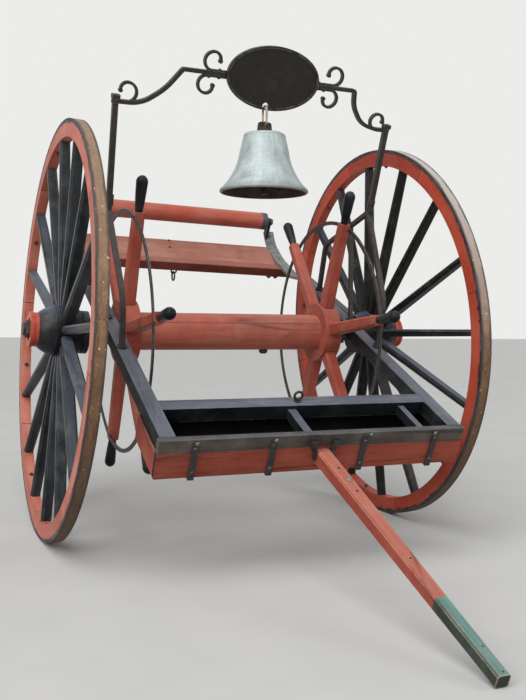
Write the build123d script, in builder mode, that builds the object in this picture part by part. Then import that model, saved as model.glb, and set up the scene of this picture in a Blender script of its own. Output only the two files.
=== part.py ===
"""Two-wheeled hand-drawn hose cart with a bell arch.

All sizes are millimetres and degrees.  World frame: +X to the cart's right as seen from the front,
-Y to the front, +Z up, wheels and pole tip on Z = 0.

The frame is drawn level, in the deck's own coordinates: x across, u forward of the axle and w above
the axle's centre line.  The parked cart leans forward on its pole tip, so every piece of the frame is
turned about the axle by the parking angle, which follows from the wheel and the pole.
"""
from math import asin, atan2, cos, degrees, hypot, radians, sin, tan
import os

from build123d import *

# Wheels: wooden felloes and spokes, iron tyre, turned nave
WHEEL_RADIUS = 710.0
TYRE_THICK = 11.0
RIM_WIDTH = 37.0
FELLOE_DEPTH = 49.0
FELLOES = 8
FELLOE_GAP = 0.6
SPOKES = 16
SPOKE_DISH = 26.0
SPOKE_SHOULDER = (27.0, 38.0)
SPOKE_ROOT = (28.0, 42.0)
SPOKE_TIP = (22.0, 35.0)
SPOKE_CHAMFER = 7.0
SPOKE_ROOT_LENGTH = 50.0
SPOKE_SEAT = 6.0
WHEEL_MID_X = 630.0
WHEEL_LEAN = 3.0
WHEEL_TURN = {"left": 2.0, "right": -1.0}
NAVE_IN = 106.0
NAVE_OUT = 89.0
NAVE_RADIUS = 85.0
NAVE_END_RADIUS = 71.0
NAVE_BELLY = 105.0
NOSE_RADIUS = 58.0
NOSE_LENGTH = 27.0
BAND_THICK = 3.0
BAND_WIDTH = 12.0
END_BAND_WIDTH = 20.0
NOSE_BAND_WIDTH = 10.0
NOSE_RECESS = (38.0, 9.0)

# Axle: square bed under the rails, round arms for the wheels and a round shaft for the reel
AXLE_SQUARE = 46.0
SPINDLE_RADIUS = 22.0
RUNNING_FIT = 0.05
END_PLAY = 1.0
AXLE_COLLAR = (34.0, 10.0)
AXLE_NUT = (46.0, 20.0)
AXLE_NUT_TURN = 20.0
BED_PAST_RAIL = (4.0, 10.0)
SPINDLE_ROOT = 30.0
AXLE_STUB = 8.0
CLIP_WIDTH = 30.0
CLIP_THICK = 8.0
CLIP_FOOT = 32.0

# Frame: two rails, a bar across the front, a bar behind the box and two short bars between them
RAIL_OUTER_X = 485.0
RAIL_WIDTH = 46.0
RAIL_DEPTH = 46.0
RAIL_TOP = 76.0
RAIL_REAR_U = -350.0
RAIL_END_CUT = (40.0, 12.0)
FRONT_U = 837.0
FRONT_BAR_LENGTH = 20.0
FRONT_BAR_HEIGHT = 44.0
CROSSBAR_FRONT_U = 674.0
CROSSBAR_LENGTH = 52.0
INNER_BAR_DROP = 12.0
INNER_BAR_HEIGHT = 30.0
# Columns: middle and width of each bar
INNER_BARS = ((-31.0, 26.0), (353.0, 20.0))
EDGE_BREAK = 2.0

# Shallow box of boards hung below the front of the frame
BOX_OVERHANG = 7.0
BOX_HEIGHT = 80.0
BOARD_THICK = 24.0
FLOOR_THICK = 18.0
REAR_BOARD_GAP = 12.0
BOX_IRON_X = (-386.0, -151.0, 143.0, 387.0)
BOX_IRON = (18.0, 6.0)
BOX_IRON_TOP = 70.0
BOX_IRON_HOOK = 60.0
EYE_BOLT_X = -4.0
EYE_RADIUS = 13.0
EYE_WIRE = 4.0

# Pole: one straight tapered timber, two iron ears at its root
POLE_X = 10.0
POLE_LENGTH = 908.0
POLE_ROOT = 46.0
POLE_TIP = 34.0
POLE_RISE = 2.0
POLE_TOP_AT_ROOT = 25.0
POLE_CHAMFER = 5.0
POLE_HOLE = 5.0
POLE_HOLE_AT = 516.0
EAR_THICK = 6.0
EAR_LENGTH = 16.0
EAR_FLANGE = 24.0
EAR_TOP = 65.0
EAR_SHOULDER = 38.0
EAR_FOOT = 9.0
EAR_HEIGHT = 30.0
EAR_NUT = (18.0, 9.0)

# Rear irons, ledge, board and guide roller
STRAP_THICK = 12.0
STRAP_DIP = {"left": 8.0, "right": 34.0}
STRAP_LAP = 130.0
STRAP_FRONT_BENDS = (20.0, 130.0)
STRAP_FRONT_RADIUS = 120.0
# Columns: u, height above the level part and bend radius of the iron behind the rail
STRAP_BENDS = ((-660.0, 6.0, 300.0), (-770.0, 30.0, 160.0), (-826.0, 76.0, 0.0))
LEDGE_FRONT_U = -570.0
LEDGE_LENGTH = 58.0
LEDGE_THICK = 34.0
LEDGE_NOTCH = 3.2
BOARD_WIDTH = 132.0
BOARD_RISE = 17.0
BOARD_SET = 2.0
REAR_BOARD_THICK = 22.0
REAR_BOARD_LAP = 7.0
ROLLER_U = -800.0
ROLLER_W = 186.0
ROLLER_RADIUS = 37.0
ROLLER_HALF = 424.0
FERRULE_LENGTH = 26.0
FERRULE_THICK = 1.0
ROLLER_PIN = 9.0
ROLLER_NUT = (15.0, 9.0)
BRACKET_THICK = 12.0
BRACKET_GAP = 12.0
BRACKET_EYE = 17.0
BRACKET_FOOT = 38.0
STAPLE_X = -45.0
STAPLE_WIRE = 3.5
STAPLE_RADIUS = 11.0
HANGING_RING = 18.0
RING_SINK = 0.1

# Reel: drum on the axle, hub discs, six arms and handles at each end, and flat hoops
REEL_DRUM_RADIUS = 67.0
REEL_BORE = 30.0
DISC_INNER_X = 355.0
DISC_THICK = 64.0
DISC_RADIUS = 110.0
REEL_ARMS = 6
REEL_PHASE = 6.5
ARM_ROOT = (46.0, 44.0)
ARM_TIP = (36.0, 38.0)
ARM_CHAMFER = 6.0
ARM_TENON_DEPTH = 26.0
ARM_TENON_SHOULDER = 6.0
ARM_END = 438.0
HANDLE_END = 560.0
HANDLE_NECK = 13.0
HANDLE_BULB = 19.8
HANDLE_TOP = 27.0
HANDLE_FLAT = 6.0
HOOP_RADIUS = 420.0
HOOP_WIDTH = 14.0
HOOP_THICK = 6.0

# Bell arch: one three-legged stay on each rail, a scrolled arm across and an oval plate
STAY_FOOT_X = 469.0
STAY_TOP_X = {"left": -506.0, "right": 462.0}
STAY_JOINT_X = {"left": -491.0, "right": 474.0}
STAY_JOINT_W = {"left": 456.0, "right": 500.0}
STAY_COLLAR = (13.0, 36.0)
STAY_BAR = 18.0
STAY_TOP_W = 786.0
STAY_TENON = (6.0, 28.0)
FOOT_COLLAR = (16.0, 9.0)
FRONT_FOOT_U = 280.0
MIDDLE_FOOT_U = 54.0
REAR_FOOT_U = -240.0
LEG_BAR = (17.0, 14.0)
FRONT_KNEE_BACK = 27.0
FRONT_LEG_RISE = 150.0
FRONT_KNEE_RADIUS = 140.0
REAR_KNEE_BACK = 26.0
REAR_KNEE_RADIUS = 42.0
KNEE_W = 262.0
ARM_BAR = (13.0, 16.0)
ARM_STEP_LEFT = (81.0, 154.0)
ARM_STEP_RIGHT = (42.0, 104.0, 146.0)
SCROLL_LAP = 6.0
ARM_EYE = 13.0
ARM_NUT = (25.0, 14.0)
ARM_RISE = 120.5
ARM_FLAT = (-303.0, 308.0)
ARM_CORNER = 8.0
PLAQUE_X = -0.5
PLAQUE_RAISE = 7.0
PLAQUE_HALF = (162.0, 102.0)
PLAQUE_THICK = 8.0
PLAQUE_RIM = (7.0, 4.0)
PLAQUE_HOLE = 10.0
HOLE_EDGE = 14.0

# Bell: hangs plumb from a long link in the plate's lower edge
BELL_X = -13.0
LINK_RADIUS = 16.0
LINK_LENGTH = 65.0
LINK_WIRE = 3.5
LINK_SHIFT = 0.5
LINK_DROP = 1.6
LUG_HOLE = 4.7
LUG_THICK = 8.0
LUG_FOOT = 25.5
LUG_TOP_RADIUS = 14.0
BELL_DROP = 26.0
BELL_HEIGHT = 194.0
BELL_MOUTH = 146.0
BELL_CROWN = 60.0
BELL_SHOULDER = 70.0
BELL_WAIST = 81.0
BELL_FLARE = 108.0
BELL_WALL = 9.0
BELL_LIP = 8.0
CLAPPER_PIN = 4.0
CLAPPER_PIVOT_DROP = 30.0
CLAPPER_BALL = 15.0
CLAPPER_PAST_LIP = 4.0
CLAPPER_TAIL_LENGTH = 33.0
CLAPPER_STEM = 4.5
CLAPPER_TAIL = 9.0
CLAPPER_EYE = 10.0
CHEEK_GAP = 12.0
CHEEK_THICK = 5.0
CHEEK_WIDTH = 16.0

# Values that follow from the sizes above
RAIL_X = RAIL_OUTER_X - RAIL_WIDTH / 2
RAIL_INNER_X = RAIL_OUTER_X - RAIL_WIDTH
RAIL_BOTTOM = RAIL_TOP - RAIL_DEPTH
FRONT_BAR_REAR_U = FRONT_U - FRONT_BAR_LENGTH
FRONT_BAR_BOTTOM = RAIL_TOP - FRONT_BAR_HEIGHT
CROSSBAR_REAR_U = CROSSBAR_FRONT_U - CROSSBAR_LENGTH
BOX_HALF_WIDTH = RAIL_OUTER_X + BOX_OVERHANG
BOX_TOP = FRONT_BAR_BOTTOM
BOX_BOTTOM = BOX_TOP - BOX_HEIGHT
FELLOE_OUTER = WHEEL_RADIUS - TYRE_THICK
FELLOE_INNER = FELLOE_OUTER - FELLOE_DEPTH

LEAN = radians(WHEEL_LEAN)
AXLE_Z = WHEEL_RADIUS * cos(LEAN) + RIM_WIDTH / 2 * sin(LEAN)

# The pole tip's lower corner, seen from the side, sets the parking angle
RISE = radians(POLE_RISE)
POLE_TIP_TOP = (FRONT_U + POLE_LENGTH * cos(RISE), POLE_TOP_AT_ROOT + POLE_LENGTH * sin(RISE))
POLE_TIP_BOTTOM = (POLE_TIP_TOP[0] + POLE_TIP * sin(RISE), POLE_TIP_TOP[1] - POLE_TIP * cos(RISE))
PARK_RADIANS = (asin(AXLE_Z / hypot(*POLE_TIP_BOTTOM))
                + atan2(POLE_TIP_BOTTOM[1], POLE_TIP_BOTTOM[0]))
PARK_ANGLE = degrees(PARK_RADIANS)


def reach(u, w):
    """How far a point of the deck lies in front of the axle when the cart is parked."""
    return u * cos(PARK_RADIANS) + w * sin(PARK_RADIANS)


POLE_REACH = max(reach(*POLE_TIP_TOP), reach(*POLE_TIP_BOTTOM))
AXLE_Y = (POLE_REACH - WHEEL_RADIUS) / 2

PARKED = Location((0, AXLE_Y, AXLE_Z), (PARK_ANGLE, 0, 0))
AT_AXLE = Location((0, AXLE_Y, AXLE_Z))

# Side view of the deck: local x is u, forward, and local y is w, up; extrusions run to -X
def side_plane(x):
    return Plane(origin=(x, 0, 0), x_dir=(0, -1, 0), z_dir=(-1, 0, 0))


def keep(piece, name, place):
    """Put a finished piece in its place in the world and write it as its own file."""
    placed = piece.part.moved(place)
    placed.label = name
    export_step(placed, "parts/" + name + ".step")


def deck_box(x_from, x_to, u_from, u_to, w_from, w_to):
    """A box in the deck's coordinates, for use inside a BuildPart block."""
    with Locations(((x_from + x_to) / 2, -(u_from + u_to) / 2, (w_from + w_to) / 2)):
        return Box(x_to - x_from, u_to - u_from, w_to - w_from)


def broken_edges(piece, amount):
    """Take the sharp long edges off a timber."""
    chamfer(piece.edges().filter_by(GeomType.LINE), amount)


os.makedirs("parts", exist_ok=True)
SIDES = {"left": -1, "right": 1}


# Wheels
def wheel_place(side):
    sign = SIDES[side]
    plane = Plane(origin=(sign * WHEEL_MID_X, AXLE_Y, AXLE_Z),
                  x_dir=(0, -1, 0), z_dir=(sign * cos(LEAN), 0, sin(LEAN)))
    return plane.location * Location((0, 0, 0), (0, 0, WHEEL_TURN[side]))


BORE_RADIUS = SPINDLE_RADIUS + RUNNING_FIT
SPOKE_ZONE = (-SPOKE_DISH - 24.0, -SPOKE_DISH + 24.0)
NOSE_START = NAVE_OUT - NOSE_LENGTH

with BuildPart() as nave:
    with BuildSketch(Plane.XZ):
        with BuildLine():
            Polyline(
                (BORE_RADIUS, NAVE_OUT - NOSE_RECESS[1]),
                (BORE_RADIUS, -NAVE_IN),
                (NAVE_END_RADIUS, -NAVE_IN),
                (NAVE_END_RADIUS, -NAVE_IN + END_BAND_WIDTH),
                (NAVE_RADIUS, SPOKE_ZONE[0] - BAND_WIDTH),
                (NAVE_RADIUS, SPOKE_ZONE[1] + BAND_WIDTH),
            )
            RadiusArc((NAVE_RADIUS, SPOKE_ZONE[1] + BAND_WIDTH), (NOSE_RADIUS, NOSE_START), -NAVE_BELLY)
            Polyline(
                (NOSE_RADIUS, NOSE_START),
                (NOSE_RADIUS, NAVE_OUT),
                (NOSE_RECESS[0], NAVE_OUT),
                (NOSE_RECESS[0], NAVE_OUT - NOSE_RECESS[1]),
                (BORE_RADIUS, NAVE_OUT - NOSE_RECESS[1]),
            )
        make_face()
    revolve(axis=Axis.Z)

# Columns: start along the nave, width, inner radius
NAVE_BANDS = (
    (-NAVE_IN, END_BAND_WIDTH, NAVE_END_RADIUS),
    (SPOKE_ZONE[0] - BAND_WIDTH, BAND_WIDTH, NAVE_RADIUS),
    (SPOKE_ZONE[1], BAND_WIDTH, NAVE_RADIUS),
    (NAVE_OUT - NOSE_BAND_WIDTH, NOSE_BAND_WIDTH, NOSE_RADIUS),
)
with BuildPart() as nave_bands:
    for start, width, radius in NAVE_BANDS:
        with BuildSketch(Plane.XY.offset(start)):
            Circle(radius + BAND_THICK)
            Circle(radius, mode=Mode.SUBTRACT)
        extrude(amount=width)

SPOKE_ROOT_RADIUS = NAVE_RADIUS + SPOKE_ROOT_LENGTH
SPOKE_ROOT_HEIGHT = -SPOKE_DISH * (FELLOE_INNER - SPOKE_ROOT_RADIUS) / (FELLOE_INNER - NAVE_RADIUS)
# Columns: radius, section, height of the spoke's line above the rim's middle plane
SPOKE_STATIONS = (
    (NAVE_RADIUS - SPOKE_SEAT, SPOKE_SHOULDER, -SPOKE_DISH),
    (SPOKE_ROOT_RADIUS, SPOKE_ROOT, SPOKE_ROOT_HEIGHT),
    (FELLOE_INNER + SPOKE_SEAT, SPOKE_TIP, 0.0),
)
with BuildPart() as one_spoke:
    for radius, section, height in SPOKE_STATIONS:
        with BuildSketch(Plane(origin=(radius, 0, height), x_dir=(0, 1, 0), z_dir=(1, 0, 0))):
            Rectangle(*section)
            chamfer(vertices(), SPOKE_CHAMFER)
    loft(ruled=True)
    with BuildSketch(Plane.XY.offset(-SPOKE_DISH * 2)):
        Circle(FELLOE_INNER)
        Circle(NAVE_RADIUS, mode=Mode.SUBTRACT)
    extrude(amount=SPOKE_DISH * 4, mode=Mode.INTERSECT)

with BuildPart() as spokes:
    with PolarLocations(0, SPOKES):
        add(one_spoke.part)

SPOKE_ANGLE = 360 / SPOKES
with BuildPart() as felloes:
    with BuildSketch(Plane.XY.offset(-RIM_WIDTH / 2)):
        Circle(FELLOE_OUTER)
        Circle(FELLOE_INNER, mode=Mode.SUBTRACT)
        with PolarLocations((FELLOE_OUTER + FELLOE_INNER) / 2, FELLOES, 1.5 * SPOKE_ANGLE):
            Rectangle(FELLOE_DEPTH * 2, FELLOE_GAP, mode=Mode.SUBTRACT)
    extrude(amount=RIM_WIDTH)

with BuildPart() as tyre:
    with BuildSketch(Plane.XY.offset(-RIM_WIDTH / 2)):
        Circle(WHEEL_RADIUS)
        Circle(FELLOE_OUTER, mode=Mode.SUBTRACT)
    extrude(amount=RIM_WIDTH)

for side in SIDES:
    keep(nave, "nave_" + side, wheel_place(side))
    keep(nave_bands, "nave_bands_" + side, wheel_place(side))
    keep(spokes, "spokes_" + side, wheel_place(side))
    keep(felloes, "felloes_" + side, wheel_place(side))
    keep(tyre, "tyre_" + side, wheel_place(side))

# Axle, in the world: the bed leans with the deck and the arms lean with the wheels
SPINDLE_IN = -NAVE_IN - END_PLAY
SPINDLE_OUT = NAVE_OUT - NOSE_RECESS[1] + END_PLAY
BED_INNER_X = RAIL_INNER_X - BED_PAST_RAIL[0]
BED_OUTER_X = RAIL_OUTER_X + BED_PAST_RAIL[1]
with BuildPart() as axle:
    with BuildSketch(Plane.YZ.offset(-BED_OUTER_X)):
        Circle(SPINDLE_RADIUS)
    extrude(amount=2 * BED_OUTER_X)
    for side, sign in SIDES.items():
        with BuildSketch(Plane(origin=(sign * BED_INNER_X, 0, 0), x_dir=(0, 1, 0), z_dir=(sign, 0, 0))):
            Rectangle(AXLE_SQUARE, AXLE_SQUARE, rotation=sign * PARK_ANGLE)
        extrude(amount=BED_OUTER_X - BED_INNER_X)
        arm = Plane(origin=(sign * WHEEL_MID_X, 0, 0), x_dir=(0, -1, 0),
                    z_dir=(sign * cos(LEAN), 0, sin(LEAN)))
        with BuildSketch(arm.offset(SPINDLE_IN - SPINDLE_ROOT)):
            Circle(SPINDLE_RADIUS)
        extrude(amount=30 + SPINDLE_OUT - SPINDLE_IN + AXLE_NUT[1] + AXLE_STUB)
        with BuildSketch(arm.offset(SPINDLE_IN - AXLE_COLLAR[1])):
            Circle(AXLE_COLLAR[0])
        extrude(amount=AXLE_COLLAR[1])
keep(axle, "axle", AT_AXLE)

with BuildPart() as axle_nuts:
    for side, sign in SIDES.items():
        arm = Plane(origin=(sign * WHEEL_MID_X, 0, 0), x_dir=(0, -1, 0),
                    z_dir=(sign * cos(LEAN), 0, sin(LEAN)))
        with BuildSketch(arm.offset(SPINDLE_OUT)):
            Rectangle(AXLE_NUT[0], AXLE_NUT[0], rotation=AXLE_NUT_TURN)
            Circle(SPINDLE_RADIUS, mode=Mode.SUBTRACT)
        extrude(amount=AXLE_NUT[1])
keep(axle_nuts, "axle_nuts", AT_AXLE)

# Axle clips: a bent strap under the bed with a foot on each side, screwed up into the rail
BED_HALF = AXLE_SQUARE / 2
with BuildPart() as axle_clips:
    for sign in SIDES.values():
        with BuildSketch(side_plane(sign * RAIL_X)):
            with BuildLine():
                Polyline(
                    (-BED_HALF - CLIP_FOOT, RAIL_BOTTOM),
                    (-BED_HALF - CLIP_FOOT, RAIL_BOTTOM - CLIP_THICK),
                    (-BED_HALF - CLIP_THICK, RAIL_BOTTOM - CLIP_THICK),
                    (-BED_HALF - CLIP_THICK, -BED_HALF - CLIP_THICK),
                    (BED_HALF + CLIP_THICK, -BED_HALF - CLIP_THICK),
                    (BED_HALF + CLIP_THICK, RAIL_BOTTOM - CLIP_THICK),
                    (BED_HALF + CLIP_FOOT, RAIL_BOTTOM - CLIP_THICK),
                    (BED_HALF + CLIP_FOOT, RAIL_BOTTOM),
                    (-BED_HALF - CLIP_FOOT, RAIL_BOTTOM),
                )
            make_face()
            Rectangle(AXLE_SQUARE, AXLE_SQUARE, mode=Mode.SUBTRACT)
        extrude(amount=CLIP_WIDTH / 2, both=True)
keep(axle_clips, "axle_clips", PARKED)

# Rails and their rear irons
with BuildPart() as rail:
    with BuildSketch(side_plane(0)):
        with BuildLine():
            Polyline(
                (RAIL_REAR_U, RAIL_TOP),
                (FRONT_BAR_REAR_U, RAIL_TOP),
                (FRONT_BAR_REAR_U, RAIL_BOTTOM),
                (RAIL_REAR_U + RAIL_END_CUT[0], RAIL_BOTTOM),
                (RAIL_REAR_U, RAIL_BOTTOM + RAIL_END_CUT[1]),
                (RAIL_REAR_U, RAIL_TOP),
            )
        make_face()
        with BuildLine():
            Polyline(
                (RAIL_REAR_U - 1, RAIL_TOP + 1),
                (RAIL_REAR_U + STRAP_LAP, RAIL_TOP + 1),
                (RAIL_REAR_U + STRAP_LAP, RAIL_TOP - STRAP_THICK),
                (RAIL_REAR_U - 1, RAIL_TOP - STRAP_THICK),
                (RAIL_REAR_U - 1, RAIL_TOP + 1),
            )
        make_face(mode=Mode.SUBTRACT)
    extrude(amount=RAIL_WIDTH / 2, both=True)

STRAP_LEVEL = {side: RAIL_TOP - dip for side, dip in STRAP_DIP.items()}
REAR_LEVEL = (STRAP_LEVEL["left"] + STRAP_LEVEL["right"]) / 2
REAR_SAG = degrees(atan2(STRAP_LEVEL["left"] - STRAP_LEVEL["right"], 2 * RAIL_X))


def rear_strap(side):
    """Iron laid on the rail, sunk behind it and curved up to the roller."""
    level = STRAP_LEVEL[side]
    front = RAIL_REAR_U - STRAP_FRONT_BENDS[0]
    low = RAIL_REAR_U - STRAP_FRONT_BENDS[1]
    with BuildPart() as strap:
        with BuildSketch(side_plane(0)):
            with BuildLine():
                FilletPolyline(
                    (RAIL_REAR_U + STRAP_LAP, RAIL_TOP), (front, RAIL_TOP), (low, level),
                    *[(u, level + rise) for u, rise, radius in STRAP_BENDS],
                    radius=[STRAP_FRONT_RADIUS, STRAP_FRONT_RADIUS,
                            *[radius for u, rise, radius in STRAP_BENDS[:-1]]])
                offset(amount=STRAP_THICK, side=Side.LEFT)
            make_face()
        extrude(amount=RAIL_WIDTH / 2, both=True)
    return strap


STRAPS = {side: rear_strap(side) for side in SIDES}
for side, sign in SIDES.items():
    at_rail = PARKED * Location((sign * RAIL_X, 0, 0))
    keep(rail, "rail_" + side, at_rail)
    keep(STRAPS[side], "rail_strap_" + side, at_rail)


def cut_for_straps():
    """Notch a piece where the two irons cross it, for use inside a BuildPart block."""
    for side, sign in SIDES.items():
        add(STRAPS[side].part.moved(Location((sign * RAIL_X, 0, 0))), mode=Mode.SUBTRACT)


# Cross pieces of the frame
with BuildPart() as front_bar:
    deck_box(-BOX_HALF_WIDTH, BOX_HALF_WIDTH, FRONT_BAR_REAR_U, FRONT_U, FRONT_BAR_BOTTOM, RAIL_TOP)
    broken_edges(front_bar, EDGE_BREAK)
keep(front_bar, "front_bar", PARKED)

with BuildPart() as rear_crossbar:
    deck_box(-RAIL_INNER_X, RAIL_INNER_X, CROSSBAR_REAR_U, CROSSBAR_FRONT_U, FRONT_BAR_BOTTOM, RAIL_TOP)
keep(rear_crossbar, "rear_crossbar", PARKED)

INNER_BAR_TOP = RAIL_TOP - INNER_BAR_DROP
with BuildPart() as inner_bars:
    for x, width in INNER_BARS:
        deck_box(x - width / 2, x + width / 2, CROSSBAR_FRONT_U, FRONT_BAR_REAR_U,
                 INNER_BAR_TOP - INNER_BAR_HEIGHT, INNER_BAR_TOP)
keep(inner_bars, "inner_bars", PARKED)

# Boards of the box
BOX_SIDE_INNER = BOX_HALF_WIDTH - BOARD_THICK
BOX_FRONT_INNER = FRONT_BAR_REAR_U
with BuildPart() as box_front:
    deck_box(-BOX_HALF_WIDTH, BOX_HALF_WIDTH, BOX_FRONT_INNER, FRONT_U, BOX_BOTTOM, BOX_TOP)
keep(box_front, "box_front", PARKED)

with BuildPart() as box_sides:
    for sign in SIDES.values():
        inner, outer = sorted((sign * BOX_SIDE_INNER, sign * BOX_HALF_WIDTH))
        deck_box(inner, outer, CROSSBAR_REAR_U, BOX_FRONT_INNER, BOX_BOTTOM, RAIL_BOTTOM)
keep(box_sides, "box_sides", PARKED)

with BuildPart() as box_rear:
    deck_box(-BOX_SIDE_INNER, BOX_SIDE_INNER, CROSSBAR_REAR_U, CROSSBAR_REAR_U + BOARD_THICK,
             BOX_BOTTOM, BOX_TOP - REAR_BOARD_GAP)
keep(box_rear, "box_rear", PARKED)

with BuildPart() as box_floor:
    deck_box(-BOX_SIDE_INNER, BOX_SIDE_INNER, CROSSBAR_REAR_U + BOARD_THICK, BOX_FRONT_INNER,
             BOX_BOTTOM, BOX_BOTTOM + FLOOR_THICK)
keep(box_floor, "box_floor", PARKED)

# Irons that hang the box from the front bar and hook under its floor
IRON_WIDTH, IRON_THICK = BOX_IRON
with BuildPart() as box_irons:
    for x in BOX_IRON_X:
        with BuildSketch(side_plane(x)):
            with BuildLine():
                Polyline(
                    (FRONT_U, BOX_IRON_TOP),
                    (FRONT_U + IRON_THICK, BOX_IRON_TOP),
                    (FRONT_U + IRON_THICK, BOX_BOTTOM - IRON_THICK),
                    (FRONT_U - BOX_IRON_HOOK, BOX_BOTTOM - IRON_THICK),
                    (FRONT_U - BOX_IRON_HOOK, BOX_BOTTOM),
                    (FRONT_U, BOX_BOTTOM),
                    (FRONT_U, BOX_IRON_TOP),
                )
            make_face()
        extrude(amount=IRON_WIDTH / 2, both=True)
keep(box_irons, "box_irons", PARKED)

# Eye bolt in the bar behind the box
EYE_COLLAR = (11.0, 4.0)
EYE_U = CROSSBAR_FRONT_U - CROSSBAR_LENGTH / 2
EYE_CENTRE_W = RAIL_TOP + EYE_COLLAR[1] + EYE_RADIUS + EYE_WIRE - 1
with BuildPart() as eye_bolt:
    with Locations((EYE_BOLT_X, -EYE_U, EYE_CENTRE_W)):
        Torus(EYE_RADIUS, EYE_WIRE, rotation=(90, 0, 0))
    with BuildSketch(Plane(origin=(EYE_BOLT_X, -EYE_U, RAIL_TOP))):
        Circle(EYE_COLLAR[0])
    extrude(amount=EYE_COLLAR[1])
keep(eye_bolt, "eye_bolt", PARKED)

# Pole, drawn along its own top line
with BuildPart() as pole:
    for along, size in ((0.0, POLE_ROOT), (POLE_LENGTH, POLE_TIP)):
        u = FRONT_U + along * cos(RISE)
        w = POLE_TOP_AT_ROOT + along * sin(RISE)
        middle = (POLE_X, -(u + size / 2 * sin(RISE)), w - size / 2 * cos(RISE))
        with BuildSketch(Plane(origin=middle, x_dir=(1, 0, 0), z_dir=(0, -cos(RISE), sin(RISE)))):
            Rectangle(size, size)
            chamfer(vertices(), POLE_CHAMFER)
    loft(ruled=True)
    with BuildSketch(side_plane(POLE_X)):
        with Locations((FRONT_U + POLE_LENGTH, 0)):
            Rectangle(2 * POLE_LENGTH, POLE_LENGTH)
    extrude(amount=POLE_ROOT, both=True, mode=Mode.INTERSECT)
    hole_u = FRONT_U + POLE_HOLE_AT * cos(RISE)
    hole_w = POLE_TOP_AT_ROOT + POLE_HOLE_AT * sin(RISE)
    hole_plane = Plane(origin=(POLE_X, -hole_u, hole_w), x_dir=(1, 0, 0), z_dir=(0, sin(RISE), cos(RISE)))
    with BuildSketch(hole_plane):
        Circle(POLE_HOLE)
    extrude(amount=-POLE_ROOT, mode=Mode.SUBTRACT)
keep(pole, "pole", PARKED)

# Ears: a tapered flange with a nut on the front bar and a short cheek along each side of the pole
with BuildPart() as pole_ears:
    for sign in SIDES.values():
        cheek = POLE_X + sign * POLE_ROOT / 2
        inner, outer = sorted((cheek, cheek + sign * EAR_THICK))
        deck_box(inner, outer, FRONT_U, FRONT_U + EAR_LENGTH,
                 POLE_TOP_AT_ROOT - EAR_HEIGHT, POLE_TOP_AT_ROOT)
        with BuildSketch(Plane(origin=(0, -FRONT_U, 0), x_dir=(1, 0, 0), z_dir=(0, -1, 0))):
            with BuildLine():
                Polyline(
                    (cheek, EAR_TOP),
                    (cheek + sign * EAR_FLANGE, EAR_TOP),
                    (cheek + sign * EAR_FLANGE, EAR_SHOULDER),
                    (cheek + sign * EAR_THICK, EAR_FOOT),
                    (cheek, EAR_FOOT),
                    (cheek, EAR_TOP),
                )
            make_face()
        extrude(amount=EAR_THICK)
        nut_x = cheek + sign * EAR_FLANGE / 2
        deck_box(nut_x - EAR_NUT[0] / 2, nut_x + EAR_NUT[0] / 2, FRONT_U + EAR_THICK,
                 FRONT_U + EAR_THICK + EAR_NUT[1], EAR_SHOULDER, EAR_SHOULDER + EAR_NUT[0])
keep(pole_ears, "pole_ears", PARKED)

# Ledge notched under the two irons; like the board and the roller it sags to the right
LEDGE_TOP = REAR_LEVEL - STRAP_THICK
LEDGE_PLACE = Location((0, 0, LEDGE_TOP), (0, REAR_SAG, 0))
with BuildPart() as ledge_blank:
    deck_box(-RAIL_OUTER_X, RAIL_OUTER_X, LEDGE_FRONT_U - LEDGE_LENGTH, LEDGE_FRONT_U,
             -LEDGE_THICK, LEDGE_NOTCH)
    broken_edges(ledge_blank, EDGE_BREAK)
with BuildPart() as rear_ledge:
    add(ledge_blank.part.moved(LEDGE_PLACE))
    cut_for_straps()
keep(rear_ledge, "rear_ledge", PARKED)

# Board that rises behind the ledge, its ends let in round the irons
BOARD_FRONT_U = LEDGE_FRONT_U - LEDGE_LENGTH
BOARD_PLACE = Location((0, -BOARD_FRONT_U, LEDGE_TOP - BOARD_SET), (0, REAR_SAG, 0)) * Location(
    (0, 0, 0), (BOARD_RISE, 0, 0))
REAR_BOARD_HALF = RAIL_INNER_X + REAR_BOARD_LAP
with BuildPart() as board_blank:
    with Locations((0, BOARD_WIDTH / 2, -REAR_BOARD_THICK / 2)):
        Box(2 * REAR_BOARD_HALF, BOARD_WIDTH, REAR_BOARD_THICK)
with BuildPart() as rear_board:
    add(board_blank.part.moved(BOARD_PLACE))
    cut_for_straps()
    add(rear_ledge.part, mode=Mode.SUBTRACT)
keep(rear_board, "rear_board", PARKED)

# Guide roller, turning on end pins in two upright brackets
BRACKET_IN = ROLLER_HALF + BRACKET_GAP
ROLLER_PLACE = Location((0, -ROLLER_U, ROLLER_W), (0, REAR_SAG, 0))
with BuildPart() as roller:
    with BuildSketch(Plane.YZ.offset(-ROLLER_HALF + FERRULE_LENGTH)):
        Circle(ROLLER_RADIUS)
    extrude(amount=2 * (ROLLER_HALF - FERRULE_LENGTH))
keep(roller, "roller", PARKED * ROLLER_PLACE)

PIN_PAST_BRACKET = 1.0
with BuildPart() as roller_ferrules:
    for sign in SIDES.values():
        end = Plane(origin=(sign * (ROLLER_HALF - FERRULE_LENGTH), 0, 0), x_dir=(0, 1, 0), z_dir=(sign, 0, 0))
        nut = end.offset(FERRULE_LENGTH + BRACKET_GAP + BRACKET_THICK + PIN_PAST_BRACKET)
        with BuildSketch(end):
            Circle(ROLLER_RADIUS + FERRULE_THICK)
        extrude(amount=FERRULE_LENGTH)
        with BuildSketch(end.offset(FERRULE_LENGTH)):
            Circle(ROLLER_PIN)
        extrude(amount=BRACKET_GAP + BRACKET_THICK + PIN_PAST_BRACKET + ROLLER_NUT[1] / 2)
        with BuildSketch(nut):
            RegularPolygon(ROLLER_NUT[0], 6)
        extrude(amount=ROLLER_NUT[1])
keep(roller_ferrules, "roller_ferrules", PARKED * ROLLER_PLACE)

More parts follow.
